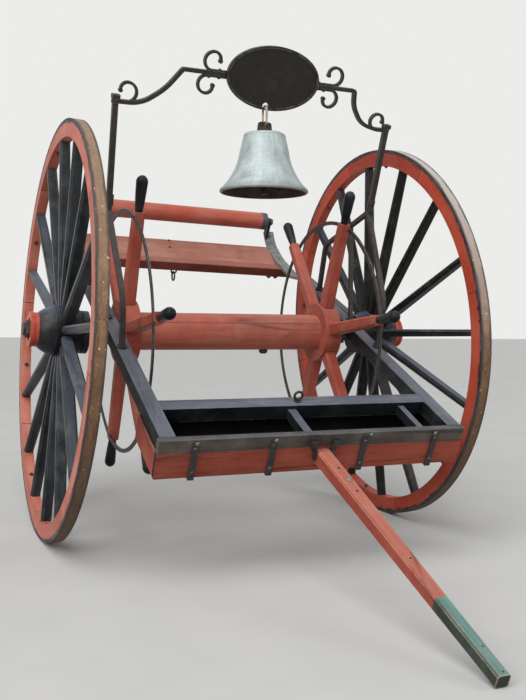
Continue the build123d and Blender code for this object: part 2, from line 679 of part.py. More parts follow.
# Each bracket stands in the middle of the iron's thickness and is fitted over its end
STRAP_END_U = STRAP_BENDS[-1][0]
BRACKET_MID_X = BRACKET_IN + BRACKET_THICK / 2
BRACKET_BEND = STRAP_BENDS[-2]
STRAP_END_SLOPE = atan2(STRAP_BENDS[-1][1] - BRACKET_BEND[1], BRACKET_BEND[0] - STRAP_END_U)
with BuildPart() as roller_brackets:
    for side, sign in SIDES.items():
        eye = (ROLLER_U, ROLLER_W - sign * BRACKET_MID_X * tan(radians(REAR_SAG)))
        heel = (STRAP_END_U + STRAP_THICK / 2 * sin(STRAP_END_SLOPE),
                STRAP_LEVEL[side] + STRAP_BENDS[-1][1] - STRAP_THICK / 2 * cos(STRAP_END_SLOPE))
        toe = (heel[0] + BRACKET_FOOT * cos(STRAP_END_SLOPE), heel[1] - BRACKET_FOOT * sin(STRAP_END_SLOPE))
        with BuildSketch(side_plane(sign * BRACKET_MID_X)):
            with BuildLine():
                Polyline(heel, (eye[0] - BRACKET_EYE, eye[1]), (eye[0] + BRACKET_EYE, eye[1]), toe, heel)
            make_face()
            with Locations(eye):
                Circle(BRACKET_EYE)
        extrude(amount=BRACKET_THICK / 2, both=True)
    cut_for_straps()
    with BuildSketch(Plane.YZ.offset(-2 * ROLLER_HALF)) as pin_bore:
        Circle(ROLLER_PIN + RUNNING_FIT)
    add(extrude(pin_bore.sketch, amount=4 * ROLLER_HALF, mode=Mode.PRIVATE).moved(ROLLER_PLACE),
        mode=Mode.SUBTRACT)
keep(roller_brackets, "roller_brackets", PARKED)

# Staple under the ledge, and the ring that hangs plumb in it
STAPLE_U = LEDGE_FRONT_U - LEDGE_LENGTH / 4
STAPLE_W = -LEDGE_THICK - STAPLE_RADIUS + STAPLE_WIRE
STAPLE_PLACE = PARKED * LEDGE_PLACE * Location((STAPLE_X, -STAPLE_U, 0))
with BuildPart() as staple:
    with Locations((0, 0, STAPLE_W)):
        Torus(STAPLE_RADIUS, STAPLE_WIRE, rotation=(90, 0, 0))
    with BuildSketch(Plane(origin=(0, 0, -LEDGE_THICK))):
        Rectangle(4 * STAPLE_RADIUS, 4 * STAPLE_RADIUS)
    extrude(amount=STAPLE_RADIUS, mode=Mode.SUBTRACT)

# The ring's wire lies on the lowest point of the staple's wire
staple_low = (STAPLE_PLACE * Location((0, 0, STAPLE_W - STAPLE_RADIUS))).position
ring_z = staple_low.Z + 2 * STAPLE_WIRE - RING_SINK - HANGING_RING
with BuildPart() as staple_ring:
    add(staple.part.moved(STAPLE_PLACE))
    with Locations((staple_low.X, staple_low.Y, ring_z)):
        Torus(HANGING_RING, STAPLE_WIRE, rotation=(0, 90, 0))
keep(staple_ring, "staple_ring", Location())

# Reel, on the axle and turned by its phase; +X end drawn, both ends kept
ARM_X = DISC_INNER_X + DISC_THICK / 2
HOOP_INNER = HOOP_RADIUS - HOOP_WIDTH / 2
ARM_TAPER = (HOOP_INNER - DISC_RADIUS) / (ARM_END - DISC_RADIUS)
ARM_OUTER_X = ARM_X + (ARM_ROOT[1] + (ARM_TIP[1] - ARM_ROOT[1]) * ARM_TAPER) / 2


def reel_place(turn):
    return AT_AXLE * Location((0, 0, 0), (turn, 0, 0))


REEL_TURN = reel_place(-REEL_PHASE)

with BuildPart() as reel_drum:
    with BuildSketch(Plane.YZ.offset(-DISC_INNER_X)):
        Circle(REEL_DRUM_RADIUS)
        Circle(REEL_BORE, mode=Mode.SUBTRACT)
    extrude(amount=2 * DISC_INNER_X)
keep(reel_drum, "reel_drum", REEL_TURN)


def arm_plane(x, radius, step):
    """A plane across one arm, its normal pointing out along the arm."""
    angle = radians(step * 360 / REEL_ARMS)
    out = (0, -cos(angle), sin(angle))
    along = (0, -sin(angle), -cos(angle))
    return Plane(origin=(x, radius * out[1], radius * out[2]), x_dir=along, z_dir=out)


TENON = (ARM_ROOT[0] - 2 * ARM_TENON_SHOULDER, ARM_ROOT[1] - 2 * ARM_TENON_SHOULDER)
GRIP = HANDLE_END - HANDLE_TOP
HANDLE_MIDDLE = (ARM_END + GRIP) / 2
for side, sign in SIDES.items():
    disc_inner, disc_outer = sorted((sign * DISC_INNER_X, sign * (DISC_INNER_X + DISC_THICK)))
    with BuildPart() as reel_disc:
        with BuildSketch(Plane.YZ.offset(disc_inner)):
            Circle(DISC_RADIUS)
            Circle(BORE_RADIUS, mode=Mode.SUBTRACT)
        extrude(amount=DISC_THICK)
        for step in range(REEL_ARMS):
            with BuildSketch(arm_plane(sign * ARM_X, DISC_RADIUS - ARM_TENON_DEPTH, step)):
                Rectangle(*TENON)
            extrude(amount=2 * ARM_TENON_DEPTH, mode=Mode.SUBTRACT)
    keep(reel_disc, "reel_disc_" + side, REEL_TURN)

    # The hoop is let in flush with the outer faces of the arms
    hoop_inner = min(sign * (ARM_OUTER_X - HOOP_THICK), sign * ARM_OUTER_X)
    with BuildPart() as reel_arms:
        for step in range(REEL_ARMS):
            with BuildSketch(arm_plane(sign * ARM_X, DISC_RADIUS - ARM_TENON_DEPTH, step)):
                Rectangle(*TENON)
            extrude(amount=ARM_TENON_DEPTH)
            with BuildSketch(arm_plane(sign * ARM_X, DISC_RADIUS, step)):
                Rectangle(*ARM_ROOT)
                chamfer(vertices(), ARM_CHAMFER)
            with BuildSketch(arm_plane(sign * ARM_X, ARM_END, step)):
                Rectangle(*ARM_TIP)
                chamfer(vertices(), ARM_CHAMFER)
            loft(ruled=True)
        with BuildSketch(Plane.YZ.offset(hoop_inner)):
            Circle(HOOP_RADIUS + HOOP_WIDTH / 2)
            Circle(HOOP_INNER, mode=Mode.SUBTRACT)
        extrude(amount=HOOP_THICK, mode=Mode.SUBTRACT)
    keep(reel_arms, "reel_arms_" + side, REEL_TURN)

    with BuildPart() as one_handle:
        with BuildSketch(Plane.XZ):
            with BuildLine():
                Polyline((0, HANDLE_END), (0, ARM_END), (HANDLE_NECK, ARM_END))
                ThreePointArc((HANDLE_NECK, ARM_END), ((HANDLE_NECK + HANDLE_BULB) / 2 + 1, HANDLE_MIDDLE),
                              (HANDLE_BULB, GRIP))
                ThreePointArc((HANDLE_BULB, GRIP), (HANDLE_BULB * 0.82, HANDLE_END - HANDLE_TOP * 0.32),
                              (HANDLE_FLAT, HANDLE_END))
                Line((HANDLE_FLAT, HANDLE_END), (0, HANDLE_END))
            make_face()
        revolve(axis=Axis.Z)
    with BuildPart() as reel_handles:
        for step in range(REEL_ARMS):
            add(one_handle.part.moved(arm_plane(sign * ARM_X, 0, step).location))
    keep(reel_handles, "reel_handles_" + side, REEL_TURN)

    with BuildPart() as reel_hoop:
        with BuildSketch(Plane.YZ.offset(hoop_inner)):
            Circle(HOOP_RADIUS + HOOP_WIDTH / 2)
            Circle(HOOP_INNER, mode=Mode.SUBTRACT)
        extrude(amount=HOOP_THICK)
    keep(reel_hoop, "reel_hoop_" + side, REEL_TURN)

# Stays of the bell arch: a square post on three bent legs
LEG_WIDE, LEG_THIN = LEG_BAR


def bent_bar(points, radii, size):
    """A flat bar of constant section swept along a bent line, for use inside a BuildPart block."""
    with BuildLine() as route:
        path = FilletPolyline(*points, radius=radii)
    with BuildSketch(Plane(origin=path @ 0, x_dir=(1, 0, 0), z_dir=path % 0)) as section:
        Rectangle(*size)
    sweep(sections=section.sketch, path=route.line)


MIDDLE_LEG_SHARE = 0.6
for side, sign in SIDES.items():
    foot_x = sign * STAY_FOOT_X
    joint_x = STAY_JOINT_X[side]
    joint = STAY_JOINT_W[side]
    foot_w = RAIL_TOP + FOOT_COLLAR[1]
    post_low = joint - LEG_WIDE
    rear_end = (joint_x, 0, joint - LEG_THIN / 2)
    rear_knee = (foot_x, -REAR_FOOT_U + REAR_KNEE_BACK, KNEE_W)
    front_knee = (foot_x + (joint_x - foot_x) * 0.3, FRONT_KNEE_BACK - FRONT_FOOT_U, foot_w + FRONT_LEG_RISE)
    middle_top = tuple(low + (high - low) * MIDDLE_LEG_SHARE for low, high in zip(rear_knee, rear_end))
    with BuildPart() as stay:
        for x, w in ((joint_x, post_low), (STAY_TOP_X[side], STAY_TOP_W)):
            with BuildSketch(Plane(origin=(x, 0, w))):
                Rectangle(STAY_BAR, STAY_BAR)
        loft(ruled=True)
        with BuildSketch(Plane(origin=(STAY_TOP_X[side], 0, STAY_TOP_W))):
            Circle(STAY_TENON[0])
        extrude(amount=STAY_TENON[1])
        with BuildSketch(Plane(origin=(joint_x, 0, joint))):
            Circle(STAY_COLLAR[0])
        extrude(amount=STAY_COLLAR[1])
        front_way = ((foot_x, -FRONT_FOOT_U, foot_w), front_knee,
                     (joint_x, 0, joint - LEG_WIDE), (joint_x, 0, joint))
        bent_bar(front_way, [FRONT_KNEE_RADIUS, LEG_WIDE], (LEG_WIDE, LEG_THIN))
        rear_way = ((foot_x, -REAR_FOOT_U, foot_w), rear_knee, rear_end)
        bent_bar(rear_way, [REAR_KNEE_RADIUS], (LEG_WIDE, LEG_THIN))
        middle_foot = (foot_x, -MIDDLE_FOOT_U, foot_w)
        middle_way = tuple(high - low for low, high in zip(middle_foot, middle_top))
        with BuildSketch(Plane(origin=middle_foot, x_dir=(1, 0, 0), z_dir=middle_way)):
            Rectangle(LEG_THIN, LEG_THIN)
        extrude(amount=hypot(*middle_way))
        for foot_u in (FRONT_FOOT_U, MIDDLE_FOOT_U, REAR_FOOT_U):
            with BuildSketch(Plane(origin=(foot_x, -foot_u, RAIL_TOP))):
                Circle(FOOT_COLLAR[0])
            extrude(amount=FOOT_COLLAR[1])
    keep(stay, "stay_" + side, PARKED)

# Scrolled arm across the two posts, seen from the front
ARM_SIZE, ARM_DEEP = ARM_BAR
ARM_END_W = STAY_TOP_W + ARM_SIZE / 2
ARM_TOP_W = ARM_END_W + ARM_RISE
# Columns: x, share of the arm's rise and bend radius
ARM_BENDS = (
    (STAY_TOP_X["left"] + ARM_STEP_LEFT[0], 0.0, 120.0),
    (STAY_TOP_X["left"] + ARM_STEP_LEFT[1], 0.452, 200.0),
    (ARM_FLAT[0], 1.0, ARM_CORNER),
    (ARM_FLAT[1], 1.0, ARM_CORNER),
    (STAY_TOP_X["right"] - ARM_STEP_RIGHT[2], 0.577, 90.0),
    (STAY_TOP_X["right"] - ARM_STEP_RIGHT[1], 0.104, 80.0),
    (STAY_TOP_X["right"] - ARM_STEP_RIGHT[0], 0.0, 60.0),
)
ARM_POINTS = [(x, ARM_END_W + share * ARM_RISE) for x, share, radius in ARM_BENDS]

# Scrolls: four spring from behind the plate and two from the posts
PLAQUE_W = ARM_TOP_W + PLAQUE_RAISE
PLAQUE_LEFT = PLAQUE_X - PLAQUE_HALF[0] + SCROLL_LAP
PLAQUE_RIGHT = PLAQUE_X + PLAQUE_HALF[0] - SCROLL_LAP
# Columns: start x and w, straight run, heading, first radius, its turn, second radius, its turn
SCROLLS = (
    (PLAQUE_LEFT, ARM_TOP_W + 7, 50.5, 180.0, 29.0, -180.0, 23.0, -100.0),
    (PLAQUE_LEFT, ARM_TOP_W - 9, 64.5, 180.0, 28.0, 180.0, 22.0, 100.0),
    (PLAQUE_RIGHT, ARM_TOP_W + 8, 67.5, 0.0, 29.0, 180.0, 23.0, 100.0),
    (PLAQUE_RIGHT, ARM_TOP_W - 8, 62.5, 0.0, 28.0, -180.0, 22.0, -100.0),
    (STAY_TOP_X["left"] + 8, ARM_END_W + 0.5, 26.0, 0.0, 30.0, 180.0, 22.0, 100.0),
    (STAY_TOP_X["right"] - 21, ARM_END_W + 0.5, 22.0, 180.0, 26.0, -180.0, 22.0, -100.0),
)
SCROLL_BAR = (9.0, 12.0)
SCROLL_EYE = 7.0

with BuildPart() as arch_arm:
    with BuildLine(Plane.XZ):
        arm_path = FilletPolyline((STAY_TOP_X["left"], ARM_END_W), *ARM_POINTS,
                                  (STAY_TOP_X["right"], ARM_END_W),
                                  radius=[radius for x, share, radius in ARM_BENDS])
    with BuildSketch(Plane(origin=arm_path @ 0, x_dir=(0, 1, 0), z_dir=arm_path % 0)):
        Rectangle(ARM_DEEP, ARM_SIZE)
    sweep()
    for x, w, run, heading, radius_1, turn_1, radius_2, turn_2 in SCROLLS:
        with BuildLine(Plane.XZ):
            straight = PolarLine((x, w), run, heading)
            first = JernArc(straight @ 1, straight % 1, radius_1, turn_1)
            second = JernArc(first @ 1, first % 1, radius_2, turn_2)
        with BuildSketch(Plane(origin=straight @ 0, x_dir=(0, 1, 0), z_dir=straight % 0)):
            Rectangle(SCROLL_BAR[1], SCROLL_BAR[0])
        sweep()
        with BuildSketch(Plane(origin=second @ 1, x_dir=(1, 0, 0), z_dir=(0, -1, 0))):
            Circle(SCROLL_EYE)
        extrude(amount=SCROLL_BAR[1] / 2, both=True)
    for top_x in STAY_TOP_X.values():
        with BuildSketch(Plane(origin=(top_x, 0, STAY_TOP_W))):
            Circle(ARM_EYE)
        extrude(amount=ARM_SIZE)
        with BuildSketch(Plane(origin=(top_x, 0, STAY_TOP_W))):
            Circle(STAY_TENON[0])
        extrude(amount=ARM_SIZE, mode=Mode.SUBTRACT)
keep(arch_arm, "arch_arm", PARKED)

with BuildPart() as arch_nuts:
    for top_x in STAY_TOP_X.values():
        with BuildSketch(Plane(origin=(top_x, 0, STAY_TOP_W + ARM_SIZE))):
            Rectangle(ARM_NUT[0], ARM_NUT[0])
            Circle(STAY_TENON[0], mode=Mode.SUBTRACT)
        extrude(amount=ARM_NUT[1])
keep(arch_nuts, "arch_nuts", PARKED)

# Oval plate in front of the arm, with a hole near its lower edge for the bell's link
PLAQUE_HOLE_W = PLAQUE_W - PLAQUE_HALF[1] + HOLE_EDGE
PLAQUE_BACK = Plane(origin=(PLAQUE_X, -ARM_DEEP / 2, PLAQUE_W), x_dir=(1, 0, 0), z_dir=(0, -1, 0))
with BuildPart() as plaque:
    with BuildSketch(PLAQUE_BACK):
        Ellipse(*PLAQUE_HALF)
    extrude(amount=PLAQUE_THICK)
    with BuildSketch(PLAQUE_BACK.offset(PLAQUE_THICK)):
        Ellipse(*PLAQUE_HALF)
        Ellipse(PLAQUE_HALF[0] - PLAQUE_RIM[0], PLAQUE_HALF[1] - PLAQUE_RIM[0], mode=Mode.SUBTRACT)
    extrude(amount=PLAQUE_RIM[1])
    with BuildSketch(PLAQUE_BACK):
        with Locations((BELL_X - PLAQUE_X, PLAQUE_HOLE_W - PLAQUE_W)):
            Circle(PLAQUE_HOLE)
    extrude(amount=PLAQUE_THICK + PLAQUE_RIM[1], mode=Mode.SUBTRACT)
keep(plaque, "plaque", PARKED)

# Link and bell hang plumb below the plate's hole
HOLE_U = ARM_DEEP / 2 + PLAQUE_THICK / 2
LINK_Y = LINK_SHIFT - reach(HOLE_U, PLAQUE_HOLE_W)
LINK_TOP = PLAQUE_HOLE_W * cos(PARK_RADIANS) - HOLE_U * sin(PARK_RADIANS) - LINK_DROP
LINK_STRAIGHT = LINK_LENGTH - 2 * LINK_RADIUS
with BuildPart() as bell_ring:
    with BuildLine(Plane.YZ):
        side_run = Line((LINK_RADIUS, -LINK_RADIUS - LINK_STRAIGHT), (LINK_RADIUS, -LINK_RADIUS))
        top_turn = JernArc(side_run @ 1, side_run % 1, LINK_RADIUS, 180)
        down_run = Line(top_turn @ 1, (-LINK_RADIUS, -LINK_RADIUS - LINK_STRAIGHT))
        JernArc(down_run @ 1, down_run % 1, LINK_RADIUS, 180)
    with BuildSketch(Plane(origin=side_run @ 0, x_dir=(1, 0, 0), z_dir=(0, 0, 1))):
        Circle(LINK_WIRE)
    sweep()
keep(bell_ring, "bell_ring", AT_AXLE * Location((BELL_X, LINK_Y, LINK_TOP)))

# Bell, drawn from its pivot in the foot of the link
BELL_PLACE = AT_AXLE * Location((BELL_X, LINK_Y, LINK_TOP - LINK_LENGTH))
CROWN_Z = -BELL_DROP


def bell_at(radius, share):
    """Point of the bell's profile at a share of its height below the crown."""
    return (radius, CROWN_Z - share * BELL_HEIGHT)


INNER_CROWN = CROWN_Z - BELL_WALL
with BuildPart() as bell:
    with BuildSketch(Plane.XZ):
        with BuildLine():
            Line((0, CROWN_Z), bell_at(BELL_CROWN, 0))
            ThreePointArc(bell_at(BELL_CROWN, 0), bell_at(BELL_SHOULDER - 3, 0.015),
                          bell_at(BELL_SHOULDER, 0.062))
            Line(bell_at(BELL_SHOULDER, 0.062), bell_at(BELL_WAIST, 0.294))
            ThreePointArc(bell_at(BELL_WAIST, 0.294), bell_at(BELL_FLARE, 0.706),
                          bell_at(BELL_MOUTH - 1, 0.948))
            ThreePointArc(bell_at(BELL_MOUTH - 1, 0.948), bell_at(BELL_MOUTH + 0.5, 0.974),
                          bell_at(BELL_MOUTH - 2, 1))
            Line(bell_at(BELL_MOUTH - 2, 1), bell_at(BELL_MOUTH - BELL_LIP, 1))
            ThreePointArc(bell_at(BELL_MOUTH - BELL_LIP, 1), bell_at(BELL_FLARE - BELL_WALL, 0.706),
                          bell_at(BELL_WAIST - BELL_WALL, 0.294))
            Line(bell_at(BELL_WAIST - BELL_WALL, 0.294), (BELL_SHOULDER - BELL_WALL, INNER_CROWN - 5))
            Polyline((BELL_SHOULDER - BELL_WALL, INNER_CROWN - 5),
                     (BELL_SHOULDER - BELL_WALL - 5, INNER_CROWN), (0, INNER_CROWN), (0, CROWN_Z))
        make_face()
    revolve(axis=Axis.Z)
    with BuildSketch(Plane.XZ):
        with BuildLine():
            Polyline((-LUG_FOOT, CROWN_Z - 1), (LUG_FOOT, CROWN_Z - 1), (LUG_TOP_RADIUS, 0),
                     (-LUG_TOP_RADIUS, 0), (-LUG_FOOT, CROWN_Z - 1))
        make_face()
        Circle(LUG_TOP_RADIUS)
        Circle(LUG_HOLE, mode=Mode.SUBTRACT)
    extrude(amount=LUG_THICK / 2, both=True)
    for sign in SIDES.values():
        with BuildSketch(Plane.XZ.offset(sign * (CHEEK_GAP + CHEEK_THICK) / 2)):
            with Locations((0, INNER_CROWN - CLAPPER_PIVOT_DROP / 2)):
                Rectangle(CHEEK_WIDTH, CLAPPER_PIVOT_DROP + CHEEK_WIDTH)
        extrude(amount=CHEEK_THICK / 2, both=True)
    with BuildSketch(Plane.XZ):
        with Locations((0, INNER_CROWN - CLAPPER_PIVOT_DROP)):
            Circle(CLAPPER_PIN)
    extrude(amount=CHEEK_GAP / 2 + CHEEK_THICK, both=True)
keep(bell, "bell", BELL_PLACE)

# Clapper on the pin between the cheeks, its tail reaching just past the lip
CLAPPER_Z = INNER_CROWN - CLAPPER_PIVOT_DROP
CLAPPER_LENGTH = CLAPPER_Z - CROWN_Z + BELL_HEIGHT + CLAPPER_PAST_LIP
BALL_DROP = CLAPPER_LENGTH - CLAPPER_TAIL_LENGTH
BALL_SIDE = CLAPPER_BALL * 0.9
TAIL_START = CLAPPER_BALL * 0.8
with BuildPart() as clapper:
    with BuildSketch(Plane.XZ):
        with BuildLine():
            Polyline((0, -CLAPPER_LENGTH), (0, 0), (CLAPPER_STEM, 0), (CLAPPER_STEM, BALL_SIDE - BALL_DROP))
            ThreePointArc((CLAPPER_STEM, BALL_SIDE - BALL_DROP), (CLAPPER_BALL, -BALL_DROP),
                          (CLAPPER_TAIL, -TAIL_START - BALL_DROP))
            Polyline((CLAPPER_TAIL, -TAIL_START - BALL_DROP), (CLAPPER_TAIL, -CLAPPER_LENGTH),
                     (0, -CLAPPER_LENGTH))
        make_face()
    revolve(axis=Axis.Z)
    with BuildSketch(Plane.XZ):
        Circle(CLAPPER_EYE)
    extrude(amount=CHEEK_GAP / 2 - 1, both=True)
    with BuildSketch(Plane.XZ):
        Circle(CLAPPER_PIN + RUNNING_FIT)
    extrude(amount=CHEEK_GAP, both=True, mode=Mode.SUBTRACT)
keep(clapper, "clapper", BELL_PLACE * Location((0, 0, CLAPPER_Z)))

print("axle height", round(AXLE_Z, 2), "axle y", round(AXLE_Y, 2), "parking angle", round(PARK_ANGLE, 3))
print("bell pivot y", round(AXLE_Y + LINK_Y, 2), "z", round(AXLE_Z + LINK_TOP - LINK_LENGTH, 2),
      "rear sag", round(REAR_SAG, 4))
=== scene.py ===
import math

import bmesh
import bpy
from mathutils import Matrix, Vector


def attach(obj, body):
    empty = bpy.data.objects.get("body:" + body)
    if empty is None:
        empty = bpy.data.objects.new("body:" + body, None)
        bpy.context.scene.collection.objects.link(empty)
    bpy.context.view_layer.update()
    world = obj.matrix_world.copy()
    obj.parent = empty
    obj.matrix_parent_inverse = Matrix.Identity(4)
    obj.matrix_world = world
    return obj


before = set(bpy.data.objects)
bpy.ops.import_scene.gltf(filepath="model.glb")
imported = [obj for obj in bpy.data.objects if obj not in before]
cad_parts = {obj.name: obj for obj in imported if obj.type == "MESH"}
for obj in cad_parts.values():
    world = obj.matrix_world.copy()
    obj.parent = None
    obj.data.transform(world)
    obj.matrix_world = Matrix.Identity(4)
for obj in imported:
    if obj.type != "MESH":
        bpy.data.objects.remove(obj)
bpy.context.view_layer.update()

# Places and sizes that the part's source gives, in metres
AXLE_Y = 0.44901
AXLE_Z = 0.71000
PARK = math.radians(24.743)
LEAN = math.radians(3.0)
REEL_PHASE = math.radians(6.5)
REAR_SAG = math.radians(1.6118)
BOARD_RISE = math.radians(17.0)
POLE_RISE = math.radians(2.0)
BELL_TOP = Vector((-0.013, 0.09039, 1.39399))
SIGN = {"left": -1, "right": 1}
WHEEL_TURN = {"left": math.radians(2.0), "right": math.radians(-1.0)}
WHEEL_RADIUS = 0.71
WHEEL_MID_X = 0.630
FELLOE_INNER = 0.650
FELLOES = 8
SPOKES = 16
REEL_ARMS = 6
HOOP_RADIUS = 0.420
ARM_OUTER_X = 0.4062
FRONT_U = 0.837
POLE_X = 0.010
POLE_TOP = 0.025
RAIL_X = 0.462
RAIL_OUTER_X = 0.485
STRAP_TOP = {"left": 0.068, "right": 0.042}
LEDGE_TOP = 0.043
LEDGE_UNDER = -0.034
BOARD_FRONT = 0.628
BOARD_LEVEL = 0.041

# Frames of the sub-parts
AXLE = Matrix.Translation((0, AXLE_Y, AXLE_Z))
DECK = AXLE @ Matrix.Rotation(PARK, 4, "X")
REEL = AXLE @ Matrix.Rotation(-REEL_PHASE, 4, "X")
REEL_SIDE = REEL @ Matrix.Rotation(math.pi / 2, 4, "Y")
POLE = DECK @ Matrix.Translation((POLE_X, -FRONT_U, POLE_TOP)) @ Matrix.Rotation(-POLE_RISE, 4, "X")
LEDGE = DECK @ Matrix.Translation((0, 0, LEDGE_TOP)) @ Matrix.Rotation(REAR_SAG, 4, "Y")
BOARD = (DECK @ Matrix.Translation((0, BOARD_FRONT, BOARD_LEVEL)) @ Matrix.Rotation(REAR_SAG, 4, "Y")
         @ Matrix.Rotation(BOARD_RISE, 4, "X"))


def wheel_frame(side):
    """Origin in the wheel's middle, X forward at rest, Z outward along the leaning axle."""
    sign = SIGN[side]
    forward = Vector((0, -1, 0))
    out = Vector((sign * math.cos(LEAN), 0, math.sin(LEAN)))
    leaning = Matrix((forward, out.cross(forward), out)).transposed().to_4x4()
    return (Matrix.Translation((sign * WHEEL_MID_X, AXLE_Y, AXLE_Z)) @ leaning
            @ Matrix.Rotation(WHEEL_TURN[side], 4, "Z"))


WHEEL = {side: wheel_frame(side) for side in SIGN}


class Net:
    """A small helper that builds one procedural material."""

    # Sockets of the mix node that carry a colour, and how far the normal turns beside a sharp edge
    COLOUR_A = 6
    COLOUR_B = 7
    COLOUR_OUT = 2
    EDGE_NONE = 0.995
    EDGE_FULL = 0.86

    def __init__(self, name, rough=0.6, metal=0.0, spec=0.5):
        self.mat = bpy.data.materials.new(name)
        self.mat.use_nodes = True
        self.tree = self.mat.node_tree
        self.bsdf = self.tree.nodes["Principled BSDF"]
        self.bsdf.inputs["Roughness"].default_value = rough
        self.bsdf.inputs["Metallic"].default_value = metal
        self.bsdf.inputs["Specular IOR Level"].default_value = spec
        self.coord = self.add("ShaderNodeTexCoord").outputs["Object"]

    def add(self, kind, **props):
        node = self.tree.nodes.new(kind)
        for key, value in props.items():
            setattr(node, key, value)
        return node

    def put(self, socket, value):
        """Link a socket's value, or set a number or a colour."""
        if isinstance(value, bpy.types.NodeSocket):
            self.tree.links.new(value, socket)
        elif isinstance(value, (tuple, list)) and len(value) == 3 and socket.type == "RGBA":
            socket.default_value = (*value, 1.0)
        else:
            socket.default_value = value

    def local(self, place):
        """Coordinates in a piece's own frame."""
        node = self.add("ShaderNodeMapping", vector_type="TEXTURE")
        self.put(node.inputs["Vector"], self.coord)
        node.inputs["Location"].default_value = place.to_translation()
        node.inputs["Rotation"].default_value = place.to_euler()
        return node.outputs[0]

    def stretch(self, vector, scale):
        """Coordinates times a scale: what is drawn on them runs long where the scale is small."""
        node = self.add("ShaderNodeMapping")
        self.put(node.inputs["Vector"], vector)
        node.inputs["Scale"].default_value = scale
        return node.outputs[0]

    def math(self, operation, a, b=0.0):
        node = self.add("ShaderNodeMath", operation=operation)
        self.put(node.inputs[0], a)
        self.put(node.inputs[1], b)
        return node.outputs[0]

    def times(self, a, b):
        return self.math("MULTIPLY", a, b)

    def plus(self, a, b):
        return self.math("ADD", a, b)

    def split(self, vector):
        node = self.add("ShaderNodeSeparateXYZ")
        self.put(node.inputs[0], vector)
        return node.outputs

    def join(self, x, y, z):
        node = self.add("ShaderNodeCombineXYZ")
        for socket, value in zip(node.inputs, (x, y, z)):
            self.put(socket, value)
        return node.outputs[0]

    def polar(self, vector):
        """Angle and radius round Z, and the height along it."""
        x, y, z = self.split(vector)
        radius = self.math("SQRT", self.plus(self.times(x, x), self.times(y, y)))
        return self.math("ARCTAN2", y, x), radius, z

    def noise(self, vector, scale, detail=4.0, rough=0.6, distortion=0.0):
        node = self.add("ShaderNodeTexNoise")
        self.put(node.inputs["Vector"], vector)
        node.inputs["Scale"].default_value = scale
        node.inputs["Detail"].default_value = detail
        node.inputs["Roughness"].default_value = rough
        node.inputs["Distortion"].default_value = distortion
        return node.outputs["Fac"]

    def cells(self, vector, scale):
        """Distance to the nearest border of random cells."""
        node = self.add("ShaderNodeTexVoronoi", feature="DISTANCE_TO_EDGE")
        self.put(node.inputs["Vector"], vector)
        node.inputs["Scale"].default_value = scale
        return node.outputs["Distance"]

    def band(self, value, low, high, out_low=0.0, out_high=1.0):
        """A ramp from out_low at low to out_high at high, level past both."""
        node = self.add("ShaderNodeMapRange", clamp=True)
        self.put(node.inputs["Value"], value)
        node.inputs["From Min"].default_value = low
        node.inputs["From Max"].default_value = high
        node.inputs["To Min"].default_value = out_low
        node.inputs["To Max"].default_value = out_high
        return node.outputs[0]

    def mix(self, factor, a, b):
        node = self.add("ShaderNodeMix", data_type="RGBA", clamp_factor=True)
        self.put(node.inputs["Factor"], factor)
        self.put(node.inputs[self.COLOUR_A], a)
        self.put(node.inputs[self.COLOUR_B], b)
        return node.outputs[self.COLOUR_OUT]

    def edges(self, size):
        """1 along sharp edges, within about that size in metres."""
        bevel = self.add("ShaderNodeBevel", samples=4)
        bevel.inputs["Radius"].default_value = size
        normal = self.add("ShaderNodeNewGeometry").outputs["Normal"]
        dot = self.add("ShaderNodeVectorMath", operation="DOT_PRODUCT")
        self.put(dot.inputs[0], bevel.outputs[0])
        self.put(dot.inputs[1], normal)
        return self.band(dot.outputs["Value"], self.EDGE_NONE, self.EDGE_FULL)

    def facing_up(self):
        """1 on a level top, -1 underneath."""
        normal = self.add("ShaderNodeNewGeometry").outputs["Normal"]
        return self.split(normal)[2]

    def finish(self, colour, rough=None, height=None, strength=0.3, distance=0.001):
        """Link colour, roughness and bump height, and give the material."""
        self.put(self.bsdf.inputs["Base Color"], colour)
        if rough is not None:
            self.put(self.bsdf.inputs["Roughness"], rough)
        if height is not None:
            bump = self.add("ShaderNodeBump")
            bump.inputs["Strength"].default_value = strength
            bump.inputs["Distance"].default_value = distance
            self.put(bump.inputs["Height"], height)
            self.put(self.bsdf.inputs["Normal"], bump.outputs[0])
        return self.mat


def shade(tone, share):
    return tuple(share * c for c in tone)


# Painted wood
PAINT_SHINE = 0.12
NOISE_JUMP = 3.71
TIMBERS_BEFORE = 50
DUST = (0.36, 0.31, 0.26)
CRACK = (0.015, 0.01, 0.008)
JOINT = (0.02, 0.009, 0.007)
GOUGE = (0.018, 0.012, 0.011)


def even_out(grain, share, rest):
    """A grain's stretch with less difference between along and across."""
    return tuple(share * g + rest for g in grain)


def timbers(net, flat, polar, pieces, first):
    """Coordinates wrapped round Z and cut into timbers, the radius, and the count of timbers passed.

    Each timber's grain starts elsewhere in the noise, and the count starts high enough to stay above 0.
    """
    angle, radius, z = net.polar(flat)
    turn = net.times(angle, polar)
    if not pieces:
        return net.join(turn, radius, z), radius, None
    share = net.plus(net.times(angle, pieces / math.tau), TIMBERS_BEFORE + first)
    shift = net.times(net.math("FLOOR", share), NOISE_JUMP)
    return net.join(net.plus(turn, shift), radius, net.plus(z, shift)), radius, share


def two_paints(net, flat, fibre, tones, axis, start, end, others):
    """The tones on one side of a ragged border, the others past it."""
    across = net.math("ABSOLUTE", net.split(flat)[0]) if axis == "side" else net.split(flat)[axis]
    second = net.band(net.plus(across, net.band(fibre, 0.3, 0.7, -0.002, 0.002)), start, end)
    return [net.mix(second, tone, other) for tone, other in zip(tones, others)]


